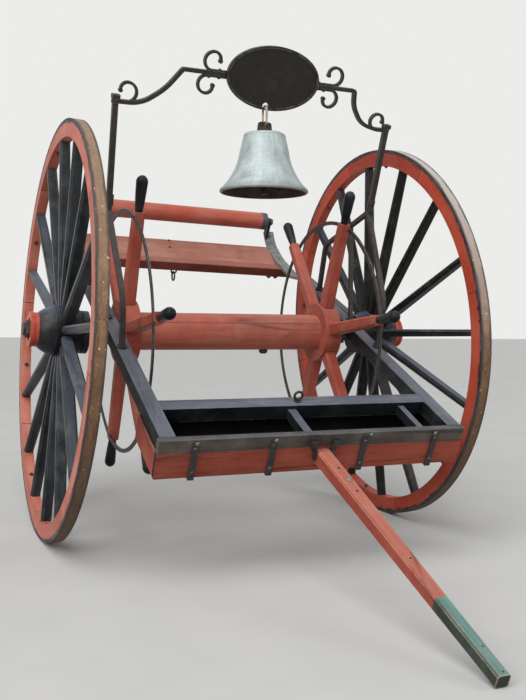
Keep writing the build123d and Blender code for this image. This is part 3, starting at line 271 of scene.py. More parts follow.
def faded_paint(net, fibre, broad, blotch, up, tones, dirt, top_share):
    """Paint faded in patches and dirty along the grain, with painted sky light: a pale tone on faces that
    look up.
    """
    paint, faded, pale = tones
    colour = net.mix(net.band(blotch, 0.35, 0.68), paint, faded)
    colour = net.mix(net.band(broad, 0.42, 0.75, 0.0, 0.45), colour, dirt)
    colour = net.mix(net.band(fibre, 0.52, 0.72, 0.0, 0.3), colour, dirt)
    # Painted sky light: faces that look up take the pale tone, as if lit from the sky above.
    sky_light = net.times(net.band(up, 0.55, 0.9), net.band(broad, 0.3, 0.6, 0.55, 1.0))
    sky_lit_streaked = net.mix(net.band(fibre, 0.45, 0.7, 0.0, 0.4), pale, dirt)
    return net.mix(net.times(sky_light, top_share), colour, sky_lit_streaked)


def lost_mask(net, base, grain, edge, wear, chips):
    """1 where the paint is rubbed off an edge or chipped away."""
    worn_from = 0.62 - 0.3 * wear
    patches = net.band(net.noise(base, 34.0, 6.0, 0.7), worn_from, worn_from + 0.16)
    fleck = net.noise(net.stretch(base, even_out(grain, 0.4, 0.6)), 70.0, 8.0, 0.72, 0.3)
    chip_from = 0.74 - 0.11 * chips
    chipped = net.band(fleck, chip_from, chip_from + 0.03)
    return net.math("MAXIMUM", net.times(net.edges(edge), patches), chipped)


def crack_mask(net, base, grain, broad, crack):
    """Fine cracks along the grain, as deep as crack."""
    gap = net.cells(net.stretch(base, even_out(grain, 0.18, 0.02)), 26.0)
    return net.times(net.times(net.band(gap, 0.02, 0.0), net.band(broad, 0.45, 0.6)), crack)


def joint_mask(net, share, fibre, width):
    """1 in the ragged joint between two timbers, for a width as a share of a timber."""
    near = net.math("PINGPONG", share, 0.5)
    ragged = net.plus(near, net.band(fibre, 0.3, 0.7, -0.4 * width, 0.4 * width))
    return net.band(ragged, width, 0.5 * width)


def gouge_mask(net, base, radius, rim):
    """1 where the paint is gouged away along the rim."""
    depth = net.band(net.noise(base, 28.0, 7.0, 0.75, 0.4), 0.45, 0.7, -0.004, 0.019)
    deep = net.band(net.noise(base, 5.0, 2.0, 0.5, 0.1), 0.48, 0.58, 0.3, 1.0)
    return net.band(net.plus(radius, net.times(depth, deep)), rim, rim + 0.0012)


def painted_wood(name, grain, tones, bare, dirt, place=DECK, wear=0.5, edge=0.003, chips=0.5, rough=0.5,
                 polar=None, pieces=0, first=0.5, joint=0.0, rim=None, crack=0.35, dust=0.2, top_share=0.6,
                 zone=None):
    """Old paint on timber.

    grain is the stretch of the grain's noise along x, y and z of the place given.  tones are the paint's
    fresh tone, its faded tone and a pale tone painted on faces that look up as sky light, bare the tone of
    the wood in its wear.
    polar wraps the grain round Z, and pieces cuts it into that many timbers, the first from that share of
    one on, with a dark joint between them that is so many radians wide.  rim is the radius past which the
    paint is gouged.  zone is an axis (or "side", for either side of the middle), the two ends of a blend
    along it and the tones of a second paint.
    """
    net = Net(name, spec=PAINT_SHINE)
    flat = net.local(place)
    base, radius, share = timbers(net, flat, polar, pieces, first) if polar else (flat, None, None)
    along = net.stretch(base, grain)
    fibre = net.noise(along, 90.0, 5.0, 0.65, 0.6)
    broad = net.noise(along, 14.0, 4.0, 0.6, 0.4)
    blotch = net.noise(base, 7.0, 5.0, 0.6, 0.2)
    up = net.facing_up()
    if zone:
        tones = two_paints(net, flat, fibre, tones, *zone)
    colour = faded_paint(net, fibre, broad, blotch, up, tones, dirt, top_share)
    lost = lost_mask(net, base, grain, edge, wear, chips)
    colour = net.mix(lost, colour, net.mix(net.band(fibre, 0.4, 0.65), bare, shade(bare, 0.55)))
    grime = net.times(net.band(net.noise(base, 11.0, 6.0, 0.65, 0.5), 0.5, 0.72),
                      net.band(up, -0.2, 0.9, 0.25, 1.0))
    colour = net.mix(net.times(grime, dust), colour, DUST)
    split = crack_mask(net, base, grain, broad, crack)
    colour = net.mix(split, colour, CRACK)
    if joint:
        seam = joint_mask(net, share, fibre, joint * pieces / math.tau)
        colour = net.mix(net.times(seam, 0.85), colour, JOINT)
    if rim:
        colour = net.mix(net.times(gouge_mask(net, base, radius, rim), 0.9), colour, GOUGE)
    relief = net.plus(net.times(fibre, 0.35), net.times(broad, 0.5))
    height = net.math("SUBTRACT", relief, net.plus(net.times(lost, 0.45), split))
    dull = net.plus(net.times(blotch, 0.6), net.times(lost, 0.5))
    return net.finish(colour, net.band(dull, 0.2, 0.9, rough - 0.08, rough + 0.34), height,
                      strength=0.42, distance=0.0016)


# Wrought iron
IRON_BLACK = (0.018, 0.015, 0.014)
IRON_BRIGHT = (0.2, 0.19, 0.18)
RUST = (0.09, 0.042, 0.024)
IRON_DUST = (0.33, 0.29, 0.25)


def iron(name, base=IRON_BLACK, bright=IRON_BRIGHT, rust=RUST, rusty=0.25, rough=0.55, metal=0.35,
         edge=0.0015, place=Matrix.Identity(4), scale=1.0, dust=0.12, rubbed=0.8):
    """Blackened or rusted wrought iron with hammer marks, and pale edges that are partly rubbed and partly
    painted highlight.
    """
    net = Net(name, metal=metal)
    spot = net.local(place)
    blotch = net.noise(spot, 16.0 * scale, 6.0, 0.65, 0.3)
    fine = net.noise(spot, 170.0 * scale, 6.0, 0.7)
    pits = net.noise(spot, 60.0 * scale, 4.0, 0.55)
    colour = net.mix(net.band(pits, 0.35, 0.7), base, shade(base, 1.9))
    # Pale edges: partly metal rubbed bare, partly a painted highlight where light catches them.
    rub = net.times(net.edges(edge), net.band(net.noise(spot, 45.0 * scale, 5.0, 0.7), 0.38, 0.6))
    colour = net.mix(net.times(rub, rubbed), colour, bright)
    rust_from = 0.72 - 0.35 * rusty
    rusted = net.times(net.band(blotch, rust_from, rust_from + 0.14), net.band(fine, 0.3, 0.62))
    colour = net.mix(rusted, colour, net.mix(net.band(fine, 0.4, 0.6), rust, shade(rust, 0.45)))
    grime = net.times(net.band(net.noise(spot, 9.0 * scale, 6.0, 0.65, 0.4), 0.48, 0.75),
                      net.band(net.facing_up(), 0.0, 1.0, 0.1, 1.0))
    colour = net.mix(net.times(grime, dust), colour, IRON_DUST)
    height = net.plus(net.times(pits, 0.7), net.times(fine, 0.3))
    dull = net.plus(net.times(rusted, 0.5), net.times(fine, 0.6))
    return net.finish(colour, net.band(dull, 0.15, 0.9, rough - 0.12, rough + 0.3), height,
                      strength=0.35, distance=0.0012)


# Tyres
TREAD = ((0.11, 0.052, 0.022), (0.26, 0.145, 0.07))
TREAD_BLOTCH = (0.16, 0.075, 0.032)
TREAD_GRIT = (0.46, 0.34, 0.23)
TREAD_TAR = (0.06, 0.045, 0.035)
TREAD_DUST = {"left": (0.4, 0.31, 0.23), "right": (0.47, 0.44, 0.43)}
TREAD_DUSTY = {"left": 0.35, "right": 0.8}
TREAD_BORDER = (0.05, 0.044, 0.043)
TREAD_FLECK = (0.68, 0.58, 0.5)
TREAD_UNDERSIDE_SHADE = (0.06, 0.04, 0.03)
TYRE_FLANK = ((0.02, 0.02, 0.023), (0.075, 0.07, 0.072))
FLANK_SPECK = (0.45, 0.45, 0.46)
FLANK_FROM = (0.0172, 0.0184)
TYRE_RUB = (0.03, 0.02, 0.016)


def worn_tyre(name, side):
    """Road-polished brown tread with pale flecks, dust on its upper half and painted shade on its lower half;
    darker grey flanks.
    """
    net = Net(name, metal=0.2, spec=0.3)
    angle, radius, z = net.polar(net.local(WHEEL[side]))
    across = net.math("ABSOLUTE", z)
    along = net.join(net.times(angle, WHEEL_RADIUS), radius, z)
    drag = net.noise(net.stretch(along, (0.22, 1.0, 1.0)), 70.0, 7.0, 0.68, 0.3)
    fine = net.noise(along, 210.0, 6.0, 0.7)
    blotch = net.noise(along, 11.0, 6.0, 0.66, 0.5)
    tar = net.noise(along, 46.0, 7.0, 0.75, 0.2)
    fleck = net.noise(net.stretch(along, (0.6, 1.0, 1.0)), 120.0, 5.0, 0.62)
    up = net.facing_up()
    tread = net.mix(net.band(drag, 0.34, 0.66), *TREAD)
    tread = net.mix(net.band(blotch, 0.42, 0.66, 0.0, 0.8), tread, TREAD_BLOTCH)
    tread = net.mix(net.band(fine, 0.57, 0.65, 0.0, 0.6), tread, TREAD_GRIT)
    tread = net.mix(net.band(tar, 0.58, 0.64, 0.0, 0.8), tread, TREAD_TAR)
    tread = net.mix(net.band(up, -0.1, 0.8, 0.0, TREAD_DUSTY[side]), tread, TREAD_DUST[side])
    border = net.plus(across, net.band(blotch, 0.3, 0.7, -0.005, 0.003))
    tread = net.mix(net.band(border, 0.009, 0.013, 0.0, 0.8), tread, TREAD_BORDER)
    tread = net.mix(net.band(fleck, 0.65, 0.68), tread, TREAD_FLECK)
    # Painted shade: the tread darkens on the faces that look down.
    tread = net.mix(net.band(up, 0.1, -0.7, 0.0, 0.6), tread, TREAD_UNDERSIDE_SHADE)
    flank = net.mix(net.band(blotch, 0.4, 0.65), *TYRE_FLANK)
    flank = net.mix(net.band(fine, 0.66, 0.7), flank, FLANK_SPECK)
    colour = net.mix(net.band(across, *FLANK_FROM), tread, flank)
    rub = net.times(net.edges(0.0025), net.band(drag, 0.4, 0.62))
    colour = net.mix(net.times(rub, 0.35), colour, TYRE_RUB)
    height = net.plus(net.times(drag, 0.8), net.times(fine, 0.4))
    return net.finish(colour, net.band(drag, 0.3, 0.7, 0.5, 0.8), height, strength=0.55, distance=0.0018)


# Bell
BRONZE = ((0.26, 0.31, 0.31), (0.42, 0.48, 0.48))
BRONZE_STREAK = (0.16, 0.19, 0.175)
BRONZE_RING = (0.6, 0.64, 0.6)
BRONZE_PALE = (0.5, 0.5, 0.49)
BRONZE_SPOT = (0.09, 0.1, 0.085)
BRONZE_EDGE = (0.5, 0.47, 0.36)
BRONZE_LIP = (0.13, 0.13, 0.1)
LIP_FROM = (-0.195, -0.215)
BELL_BROWN = ((0.022, 0.014, 0.011), (0.06, 0.035, 0.026))
LUG_FROM = (-0.0248, -0.0235)


def bell_bronze(name):
    """Grey-green bronze with streaks, pale rubbed rings and dark spots, brown inside and on its lug."""
    net = Net(name, rough=0.5, metal=0.25)
    spot = net.local(Matrix.Translation(BELL_TOP))
    x, y, z = net.split(spot)
    angle = net.math("ARCTAN2", y, x)
    rings = net.noise(net.join(net.times(angle, 0.02), z, 0.0), 160.0, 3.0, 0.6)
    streak = net.noise(net.join(net.times(angle, 0.5), net.times(z, 0.12), 0.0), 26.0, 6.0, 0.65, 0.4)
    blotch = net.noise(spot, 22.0, 6.0, 0.62, 0.4)
    pale = net.noise(spot, 48.0, 6.0, 0.7, 0.6)
    fine = net.noise(spot, 150.0, 6.0, 0.72)
    colour = net.mix(net.band(blotch, 0.32, 0.68), *BRONZE)
    colour = net.mix(net.band(streak, 0.46, 0.72, 0.0, 0.6), colour, BRONZE_STREAK)
    colour = net.mix(net.band(rings, 0.5, 0.7, 0.0, 0.2), colour, BRONZE_RING)
    colour = net.mix(net.band(pale, 0.56, 0.66, 0.0, 0.5), colour, BRONZE_PALE)
    colour = net.mix(net.band(fine, 0.6, 0.7, 0.0, 0.7), colour, BRONZE_SPOT)
    rub = net.times(net.edges(0.003), net.band(blotch, 0.35, 0.6, 0.2, 0.8))
    colour = net.mix(rub, colour, BRONZE_EDGE)
    colour = net.mix(net.band(z, *LIP_FROM, 0.0, 0.55), colour, BRONZE_LIP)
    normal = net.split(net.add("ShaderNodeNewGeometry").outputs["Normal"])
    outward = net.plus(net.times(normal[0], x), net.times(normal[1], y))
    inside = net.math("MAXIMUM", net.band(outward, 0.0, -0.004), net.band(z, *LUG_FROM))
    colour = net.mix(inside, colour, net.mix(net.band(blotch, 0.4, 0.62), *BELL_BROWN))
    height = net.plus(net.times(rings, 0.25), net.plus(net.times(fine, 0.35), blotch))
    rough = net.math("MAXIMUM", net.band(blotch, 0.3, 0.7, 0.42, 0.62), net.times(inside, 0.8))
    return net.finish(colour, rough, height, strength=0.22, distance=0.001)


# Paints: fresh tone, faded tone, and a pale tone painted as sky light on faces that look up
RED_SKY_LIT = (0.5, 0.2, 0.15)
ORANGE_SKY_LIT = (0.6, 0.24, 0.17)
SPOKE_SKY_LIT = (0.1, 0.12, 0.165)
RED = ((0.24, 0.045, 0.026), (0.3, 0.07, 0.045), RED_SKY_LIT)
# The ledge's red is darker as painted shade: its front face looks forward and down, away from the light.
LEDGE_SHADED_RED = ((0.13, 0.03, 0.02), (0.19, 0.045, 0.03), (0.42, 0.17, 0.13))
BOARD_RED = ((0.29, 0.11, 0.078), (0.39, 0.19, 0.145), (0.36, 0.17, 0.13))
ROLLER_RED = ((0.42, 0.085, 0.055), (0.48, 0.15, 0.11), ORANGE_SKY_LIT)
DRUM_RED = ((0.37, 0.09, 0.06), (0.46, 0.15, 0.105), RED_SKY_LIT)
DISC_RED = ((0.3, 0.055, 0.035), (0.4, 0.1, 0.07), RED_SKY_LIT)
ARM_RED = ((0.33, 0.06, 0.038), (0.42, 0.12, 0.085), ORANGE_SKY_LIT)
POLE_RED = ((0.27, 0.048, 0.028), (0.34, 0.08, 0.05), (0.42, 0.15, 0.11))
FELLOE_RED = {"left": ((0.40, 0.09, 0.055), (0.50, 0.19, 0.14), (0.50, 0.19, 0.14)),
              "right": ((0.38, 0.045, 0.022), (0.44, 0.08, 0.045), (0.44, 0.08, 0.045))}
NAVE_ORANGE = ((0.44, 0.06, 0.03), (0.47, 0.1, 0.06), (0.47, 0.1, 0.06))
TIP_GREEN = ((0.014, 0.03, 0.02), (0.035, 0.065, 0.048), (0.15, 0.29, 0.27))
BLACK = ((0.006, 0.0062, 0.007), (0.018, 0.02, 0.024), (0.14, 0.15, 0.185))
NAVE_BLACK = (*BLACK[:2], SPOKE_SKY_LIT)
HANDLE_BLACK = (*BLACK[:2], (0.06, 0.07, 0.07))
SPOKE_BLACK = {"left": ((0.012, 0.014, 0.015), (0.045, 0.05, 0.055), SPOKE_SKY_LIT),
               "right": ((0.007, 0.0065, 0.0055), (0.015, 0.014, 0.012), SPOKE_SKY_LIT)}
BAR_BROWN = ((0.03, 0.025, 0.021), (0.12, 0.1, 0.082), (0.07, 0.075, 0.09))
# Near black, for the inside of the box.
NEAR_BLACK = ((0.008, 0.008, 0.009), (0.016, 0.016, 0.017), (0.016, 0.016, 0.017))

# Wood that shows in the paint's wear, on the pole also a painted highlight, and the dirt in its grain
BARE_WOOD = (0.27, 0.15, 0.085)
BARE_GREY = (0.2, 0.215, 0.25)
# On the pole the pale worn edge is partly bare wood and partly a painted highlight along the chamfer.
POLE_BARE_AND_GLARE = (0.55, 0.36, 0.28)
RED_DIRT = (0.05, 0.014, 0.009)
BLACK_DIRT = (0.006, 0.007, 0.009)

# Stretch of the grain in a piece's own frame
ACROSS = (0.06, 1.0, 1.0)
ALONG = (1.0, 0.06, 1.0)
AXIAL = (1.0, 1.0, 0.06)
ROUND = ACROSS
OUTWARD = ALONG

# Borders between two paints: axis, start and end of the blend, and the second paint
BOX_FRONT_BACK = (1, -0.8365, -0.834, NEAR_BLACK)
BOX_SIDES_INSIDE = ("side", 0.4905, 0.4885, NEAR_BLACK)
POLE_TIP = (1, -0.658, -0.661, TIP_GREEN)
NAVE_END = (2, 0.061, 0.063, NAVE_ORANGE)


def red_wood(name, grain, tones=RED, **more):
    """Red paint over brown wood, made paler on top by painted sky light."""
    look = dict(bare=BARE_WOOD, dirt=RED_DIRT, top_share=0.5)
    look.update(more)
    return painted_wood(name, grain, tones, **look)


def black_wood(name, grain, tones=BLACK, **more):
    """Black paint over grey wood, made pale blue-grey on top by painted sky light."""
    look = dict(bare=BARE_GREY, dirt=BLACK_DIRT, wear=0.6, chips=0.3, rough=0.42, top_share=0.85)
    look.update(more)
    return painted_wood(name, grain, tones, **look)


MATS = {
    "ledge": red_wood("ledge", ACROSS, LEDGE_SHADED_RED, wear=0.7, edge=0.005, chips=0.6, top_share=0.6),
    "board": red_wood("board", ACROSS, BOARD_RED, place=BOARD, chips=0.3),
    "roller": red_wood("roller", ACROSS, ROLLER_RED, place=LEDGE, chips=0.45, top_share=0.3),
    "drum": red_wood("drum", ACROSS, DRUM_RED, bare=RED_DIRT, place=REEL, wear=0.2, chips=0.65, crack=0.6,
                     top_share=0.4),
    "disc": red_wood("disc", ACROSS, DISC_RED, place=REEL, crack=0.5, top_share=0.4),
    "arms": red_wood("arms", OUTWARD, ARM_RED, place=REEL_SIDE, polar=0.2, pieces=REEL_ARMS, first=0.0,
                     wear=0.7, top_share=0.3),
    "handles": black_wood("handles", OUTWARD, HANDLE_BLACK, place=REEL_SIDE, polar=0.2, pieces=REEL_ARMS,
                          first=0.0, wear=0.3, chips=0.15, rough=0.36, top_share=0.5),
    "box_front": red_wood("box_front", ACROSS, zone=BOX_FRONT_BACK),
    "box_sides": red_wood("box_sides", ALONG, crack=0.5, zone=BOX_SIDES_INSIDE),
    "box_inside": painted_wood("box_inside", ACROSS, NEAR_BLACK, BLACK[1], NEAR_BLACK[0], chips=0.1, rough=0.6, dust=0.04,
                               top_share=0.0),
    # The pole's pale worn edges: partly bare wood, partly a painted highlight.
    "pole": red_wood("pole", ALONG, POLE_RED, bare=POLE_BARE_AND_GLARE, place=POLE, wear=0.95, edge=0.005, chips=0.35,
                     crack=0.6, top_share=0.75, zone=POLE_TIP),
    "front_bar": black_wood("front_bar", ACROSS, BAR_BROWN, wear=0.95, chips=0.8, rough=0.5, crack=0.6,
                            top_share=0.9),
    "black_across": black_wood("black_across", ACROSS),
    "black_along": black_wood("black_along", ALONG),
    "iron": iron("iron"),
    "iron_deck": iron("iron_deck", base=(0.02, 0.018, 0.016), rusty=0.3, place=DECK, dust=0.08),
    "pale_iron": iron("pale_iron", base=(0.115, 0.118, 0.115), bright=(0.5, 0.5, 0.48),
                      rust=(0.12, 0.09, 0.065), rusty=0.2, metal=0.25, rough=0.5, place=DECK, edge=0.002,
                      dust=0.2),
    # Bright scroll edges: painted highlight, partly rubbed metal.
    "iron_arch": iron("iron_arch", bright=(0.34, 0.32, 0.29), dust=0.03, edge=0.002, rubbed=0.9),
    "iron_stay": iron("iron_stay", base=(0.026, 0.021, 0.019), rusty=0.3, dust=0.05),
    # Bright hoop rims: painted highlight, partly rubbed metal.
    "iron_hoop": iron("iron_hoop", bright=(0.42, 0.4, 0.37), rubbed=1.0, edge=0.002),
    "iron_link": iron("iron_link", base=(0.19, 0.16, 0.12), bright=(0.55, 0.5, 0.42), rusty=0.3, metal=0.6),
    "iron_ferrule": iron("iron_ferrule", base=(0.05, 0.055, 0.06), bright=(0.35, 0.36, 0.38), rusty=0.15,
                         edge=0.003),
    # Bright plaque rim: painted highlight, partly rubbed metal.
    "plaque": iron("plaque", base=(0.009, 0.007, 0.0065), bright=(0.26, 0.25, 0.24), rust=(0.05, 0.03, 0.022),
                   rusty=0.45, scale=0.7, dust=0.04, rough=0.42, edge=0.004, rubbed=1.0),
    "hole": iron("hole", base=(0.006, 0.005, 0.005), metal=0.0, rusty=0.0, dust=0.0),
    "bell": bell_bronze("bell"),
}
for side in SIGN:
    place = WHEEL[side]
    MATS["felloe_" + side] = red_wood("felloe_" + side, ROUND, FELLOE_RED[side], place=place, wear=0.7,
                                      polar=0.7, pieces=FELLOES, first=0.25, joint=0.0025, rim=0.6975,
                                      top_share=0.3)
    MATS["spoke_" + side] = black_wood("spoke_" + side, OUTWARD, SPOKE_BLACK[side], place=place, wear=0.45,
                                       chips=0.4, rough=0.36, polar=0.3, pieces=SPOKES, top_share=0.75)
    MATS["nave_" + side] = black_wood("nave_" + side, AXIAL, NAVE_BLACK, place=place, wear=0.4, rough=0.4,
                                      polar=0.08, zone=NAVE_END)
    MATS["tyre_" + side] = worn_tyre("tyre_" + side, side)

# Each CAD piece's material
NODE_MATS = {
    "axle": "iron", "axle_nuts": "iron", "axle_clips": "iron_deck",
    "rail_left": "black_along", "rail_right": "black_along",
    "rail_strap_left": "pale_iron", "rail_strap_right": "pale_iron",
    "front_bar": "front_bar", "rear_crossbar": "black_across", "inner_bars": "black_along",
    "box_front": "box_front", "box_sides": "box_sides", "box_rear": "box_inside", "box_floor": "box_inside",
    "box_irons": "iron_deck", "eye_bolt": "iron_deck", "pole": "pole", "pole_ears": "iron_deck",
    "rear_ledge": "ledge", "rear_board": "board", "roller_brackets": "iron",
    "staple_ring": "iron", "stay_left": "iron_stay", "stay_right": "iron_stay", "arch_arm": "iron_arch",
    "arch_nuts": "iron_arch", "plaque": "plaque", "bell_ring": "iron_link", "roller": "roller",
    "roller_ferrules": "iron_ferrule", "bell": "bell", "clapper": "iron", "reel_drum": "drum",
}
for side in SIGN:
    NODE_MATS.update({
        "nave_" + side: "nave_" + side, "nave_bands_" + side: "nave_" + side,
        "spokes_" + side: "spoke_" + side, "felloes_" + side: "felloe_" + side,
        "tyre_" + side: "tyre_" + side,
        "reel_disc_" + side: "disc", "reel_arms_" + side: "arms",
        "reel_handles_" + side: "handles", "reel_hoop_" + side: "iron_hoop",
    })
for name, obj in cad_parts.items():
    obj.data.materials.clear()
    obj.data.materials.append(MATS[NODE_MATS[name]])

# Soft edges of the CAD timbers and irons: width of the bevel
SOFT = {"front_bar": 0.0015, "rear_crossbar": 0.003, "inner_bars": 0.002, "rail_left": 0.003,
        "rail_right": 0.003, "box_front": 0.002, "box_sides": 0.002, "rear_board": 0.002,
        "rear_ledge": 0.0015, "pole": 0.002, "box_irons": 0.001, "rail_strap_left": 0.001,
        "rail_strap_right": 0.001, "arch_arm": 0.001, "stay_left": 0.0015, "stay_right": 0.0015,
        "plaque": 0.0012}
SHARP_ANGLE = math.radians(40)
for name, width in SOFT.items():
    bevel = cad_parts[name].modifiers.new("soft", "BEVEL")
    bevel.width = width
    bevel.segments = 2
    bevel.limit_method = "ANGLE"
    bevel.angle_limit = SHARP_ANGLE

# Directions of faces
OUTER = {side: (sign, 0, 0) for side, sign in SIGN.items()}
TO_HUB = (-1, 0, 0)
TO_FRONT = (0, -1, 0)
DOWN = (0, 0, -1)
UP = (0, 0, 1)


def turn_to(normal, x_hint=(1, 0, 0)):
    """A turn whose Z is the normal given."""
    z = Vector(normal).normalized()
    y = z.cross(Vector(x_hint)).normalized()
    return Matrix((y.cross(z), y, z)).transposed().to_4x4()


def at(place, point, normal=UP):
    """The frame of a fastening that stands on a face."""
    x_hint = (0, 1, 0) if abs(normal[0]) > 0.9 else (1, 0, 0)
    return place @ Matrix.Translation(point) @ turn_to(normal, x_hint)


def turned(place, degrees, axis):
    return place @ Matrix.Rotation(math.radians(degrees), 4, axis)


def add_piece(name, mesh, body, material):
    """The mesh as an object that rides with its body."""
    data = bpy.data.meshes.new(name)
    mesh.to_mesh(data)
    mesh.free()
    obj = bpy.data.objects.new(name, data)
    bpy.context.scene.collection.objects.link(obj)
    data.materials.append(MATS[material])
    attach(obj, body)


def group(name, body, material, places, shapes):
    """One piece with every shape at every place."""
    mesh = bmesh.new()
    for place in places:
        for radius, height, sides, taper, lift in shapes:
            middle = Matrix.Translation((0, 0, lift)) @ Matrix.Translation((0, 0, height / 2))
            bmesh.ops.create_cone(mesh, cap_ends=True, segments=sides, radius1=radius, radius2=radius * taper,
                                  depth=height, matrix=place @ middle)
    add_piece(name, mesh, body, material)


# Small fastenings: radius, height, sides, share of the radius at the top, lift of each shape
SQUARE_NUT = ((0.009, 0.005, 4, 0.95, 0.0), (0.0042, 0.004, 12, 0.9, 0.005))
LARGE_NUT = ((0.0135, 0.008, 4, 0.95, 0.0), (0.005, 0.006, 12, 0.9, 0.008))
ROUND_HEAD = ((0.0065, 0.0035, 16, 0.6, 0.0),)
SMALL_HEAD = ((0.0042, 0.0022, 12, 0.6, 0.0),)
BOLT_ON_WASHER = ((0.0105, 0.0015, 20, 1.0, 0.0), (0.0075, 0.0055, 16, 0.7, 0.0015))
PEG = ((0.017, 0.010, 20, 0.95, 0.0), (0.016, 0.006, 20, 0.6, 0.010))
HOLE = ((0.0045, 0.0003, 16, 1.0, 0.0),)
IRON_HOLE = ((0.0055, 0.0006, 16, 1.0, 0.0),)
NICK = ((0.0028, 0.0003, 7, 1.0, 0.0),)
NAIL = ((0.0022, 0.0003, 10, 1.0, 0.0),)
OVER_FACE = 0.0001

# Tyre bolts come through between each felloe's two spokes and end in a nut
NUT_RADIUS = FELLOE_INNER + 0.0002
for side in SIGN:
    nuts = [turned(WHEEL[side], (k + 0.25) * 360 / FELLOES, "Z") for k in range(FELLOES)]
    group("felloe_nuts_" + side, "wheel_" + side, "iron",
          [at(place, (NUT_RADIUS, 0, 0), TO_HUB) for place in nuts], SQUARE_NUT)

# Rivets that hold the hoops in the reel's arms
for side, sign in SIGN.items():
    arms = [turned(REEL, k * 360 / REEL_ARMS, "X") for k in range(REEL_ARMS)]
    rivet = (sign * ARM_OUTER_X, -HOOP_RADIUS, 0)
    group("hoop_rivets_" + side, "reel", "iron",
          [at(place, rivet, OUTER[side]) for place in arms], SMALL_HEAD)

# Irons of the box: x of the iron and x of its bolt, which stands on the iron or beside it
BOX_IRONS = ((-0.386, -0.382), (-0.151, -0.147), (0.143, 0.161), (0.387, 0.383))
BOX_IRON_HALF = 0.009
BOX_IRON_THICK = 0.006
BOX_BOLT_W = 0.064
BOX_RIVETS_W = (0.047, -0.030)
for number, (iron_x, bolt_x) in enumerate(BOX_IRONS):
    lift = BOX_IRON_THICK if abs(bolt_x - iron_x) < BOX_IRON_HALF else 0.0
    group("box_bolt_%d" % number, "frame", "iron_ferrule",
          [at(DECK, (bolt_x, -FRONT_U - lift, BOX_BOLT_W), TO_FRONT)], ROUND_HEAD)
    group("box_rivet_%d" % number, "frame", "iron",
          [at(DECK, (iron_x, -FRONT_U - BOX_IRON_THICK, w), TO_FRONT) for w in BOX_RIVETS_W], ROUND_HEAD)

# Pole: a bolt on its washer, small holes, and nicks in the worn tip
POLE_BOLT = (0.005, -0.166, 0)
POLE_HOLES = ((0.001, -0.106), (0.001, -0.222))
POLE_NICKS = ((0.003, -0.822), (0.003, -0.897))
group("pole_bolt", "frame", "iron_link", [at(POLE, POLE_BOLT)], BOLT_ON_WASHER)
group("pole_holes", "frame", "hole", [at(POLE, (x, y, OVER_FACE)) for x, y in POLE_HOLES], HOLE)
group("pole_nicks", "frame", "hole", [at(POLE, (x, y, OVER_FACE)) for x, y in POLE_NICKS], NICK)

# Board and ledge
BOARD_BOLTS = ((-0.040, 0.079), (-0.034, 0.1265))
BOARD_NAILS = ((-0.052, 0.034), (0.21, 0.035), (-0.35, 0.07), (0.36, 0.07))
LEDGE_NUTS_X = (0.395, 0.426)
LEDGE_NUTS_Y = (0.586, 0.612)
group("board_bolts", "frame", "iron_deck", [at(BOARD, (x, y, 0)) for x, y in BOARD_BOLTS],
      ROUND_HEAD)
group("board_nails", "frame", "hole", [at(BOARD, (x, y, OVER_FACE)) for x, y in BOARD_NAILS],
      NAIL)
group("ledge_nuts", "frame", "iron_deck",
      [at(LEDGE, (sign * x, y, LEDGE_UNDER), DOWN)
       for sign in SIGN.values() for x in LEDGE_NUTS_X for y in LEDGE_NUTS_Y], LARGE_NUT)

# Rear irons: two holes in each, by their u, rise over the level part and tilt, and a bolt on the outer edge
STRAP_HOLES = ((-0.8065, 0.0605, 40.0), (-0.657, 0.0068, 7.0))
STRAP_BOLT_Y = 0.742
STRAP_BOLT_RISE = 0.0185
for side, sign in SIGN.items():
    level = STRAP_TOP[side]
    places = [turned(DECK @ Matrix.Translation((sign * RAIL_X, -u, level + rise)), tilt, "X")
              for u, rise, tilt in STRAP_HOLES]
    group("strap_holes_" + side, "frame", "hole", places, IRON_HOLE)
    bolt = (sign * RAIL_OUTER_X, STRAP_BOLT_Y, level + STRAP_BOLT_RISE)
    group("strap_bolt_" + side, "frame", "iron", [at(DECK, bolt, OUTER[side])], ROUND_HEAD)

# Rivets of the scrolls beside the plate: x, height over the axle, face
SCROLL_RIVETS = {"a": (-0.182, 0.9250, UP), "b": (0.169, 0.9258, UP), "c": (-0.216, 0.8992, DOWN),
                 "d": (-0.182, 0.8992, DOWN), "e": (0.192, 0.9002, DOWN)}
for name, (x, w, normal) in SCROLL_RIVETS.items():
    group("scroll_rivet_" + name, "frame", "iron_arch", [at(DECK, (x, 0, w), normal)],
          ROUND_HEAD)


def prism(outline, half, place):
    """A mesh of a flat shape in the place's XZ plane."""
    mesh = bmesh.new()
    front, back = [[mesh.verts.new((x, y, z)) for x, z in outline] for y in (-half, half)]
    mesh.faces.new(front)
    mesh.faces.new(back[::-1])
    for k in range(len(outline)):
        mesh.faces.new((front[k - 1], front[k], back[k], back[k - 1])[::-1])
    bmesh.ops.recalc_face_normals(mesh, faces=mesh.faces)
    mesh.transform(place)
    return mesh


# Square shoulders of the bell's lug
SHOULDER = ((0.0065, -0.0255), (0.0265, -0.0255), (0.0225, 0.008), (0.017, 0.012), (0.0065, 0.012))
SHOULDER_HALF = 0.0042
for side, sign in SIGN.items():
    mesh = prism([(sign * x, z) for x, z in SHOULDER], SHOULDER_HALF, Matrix.Translation(BELL_TOP))
    add_piece("lug_shoulder_" + side, mesh, "bell", "bell")

# A peg under the drum
PEG_PLACE = (0.144, 0.0, -0.0655)
group("drum_peg", "reel", "iron", [at(AXLE, PEG_PLACE, DOWN)], PEG)

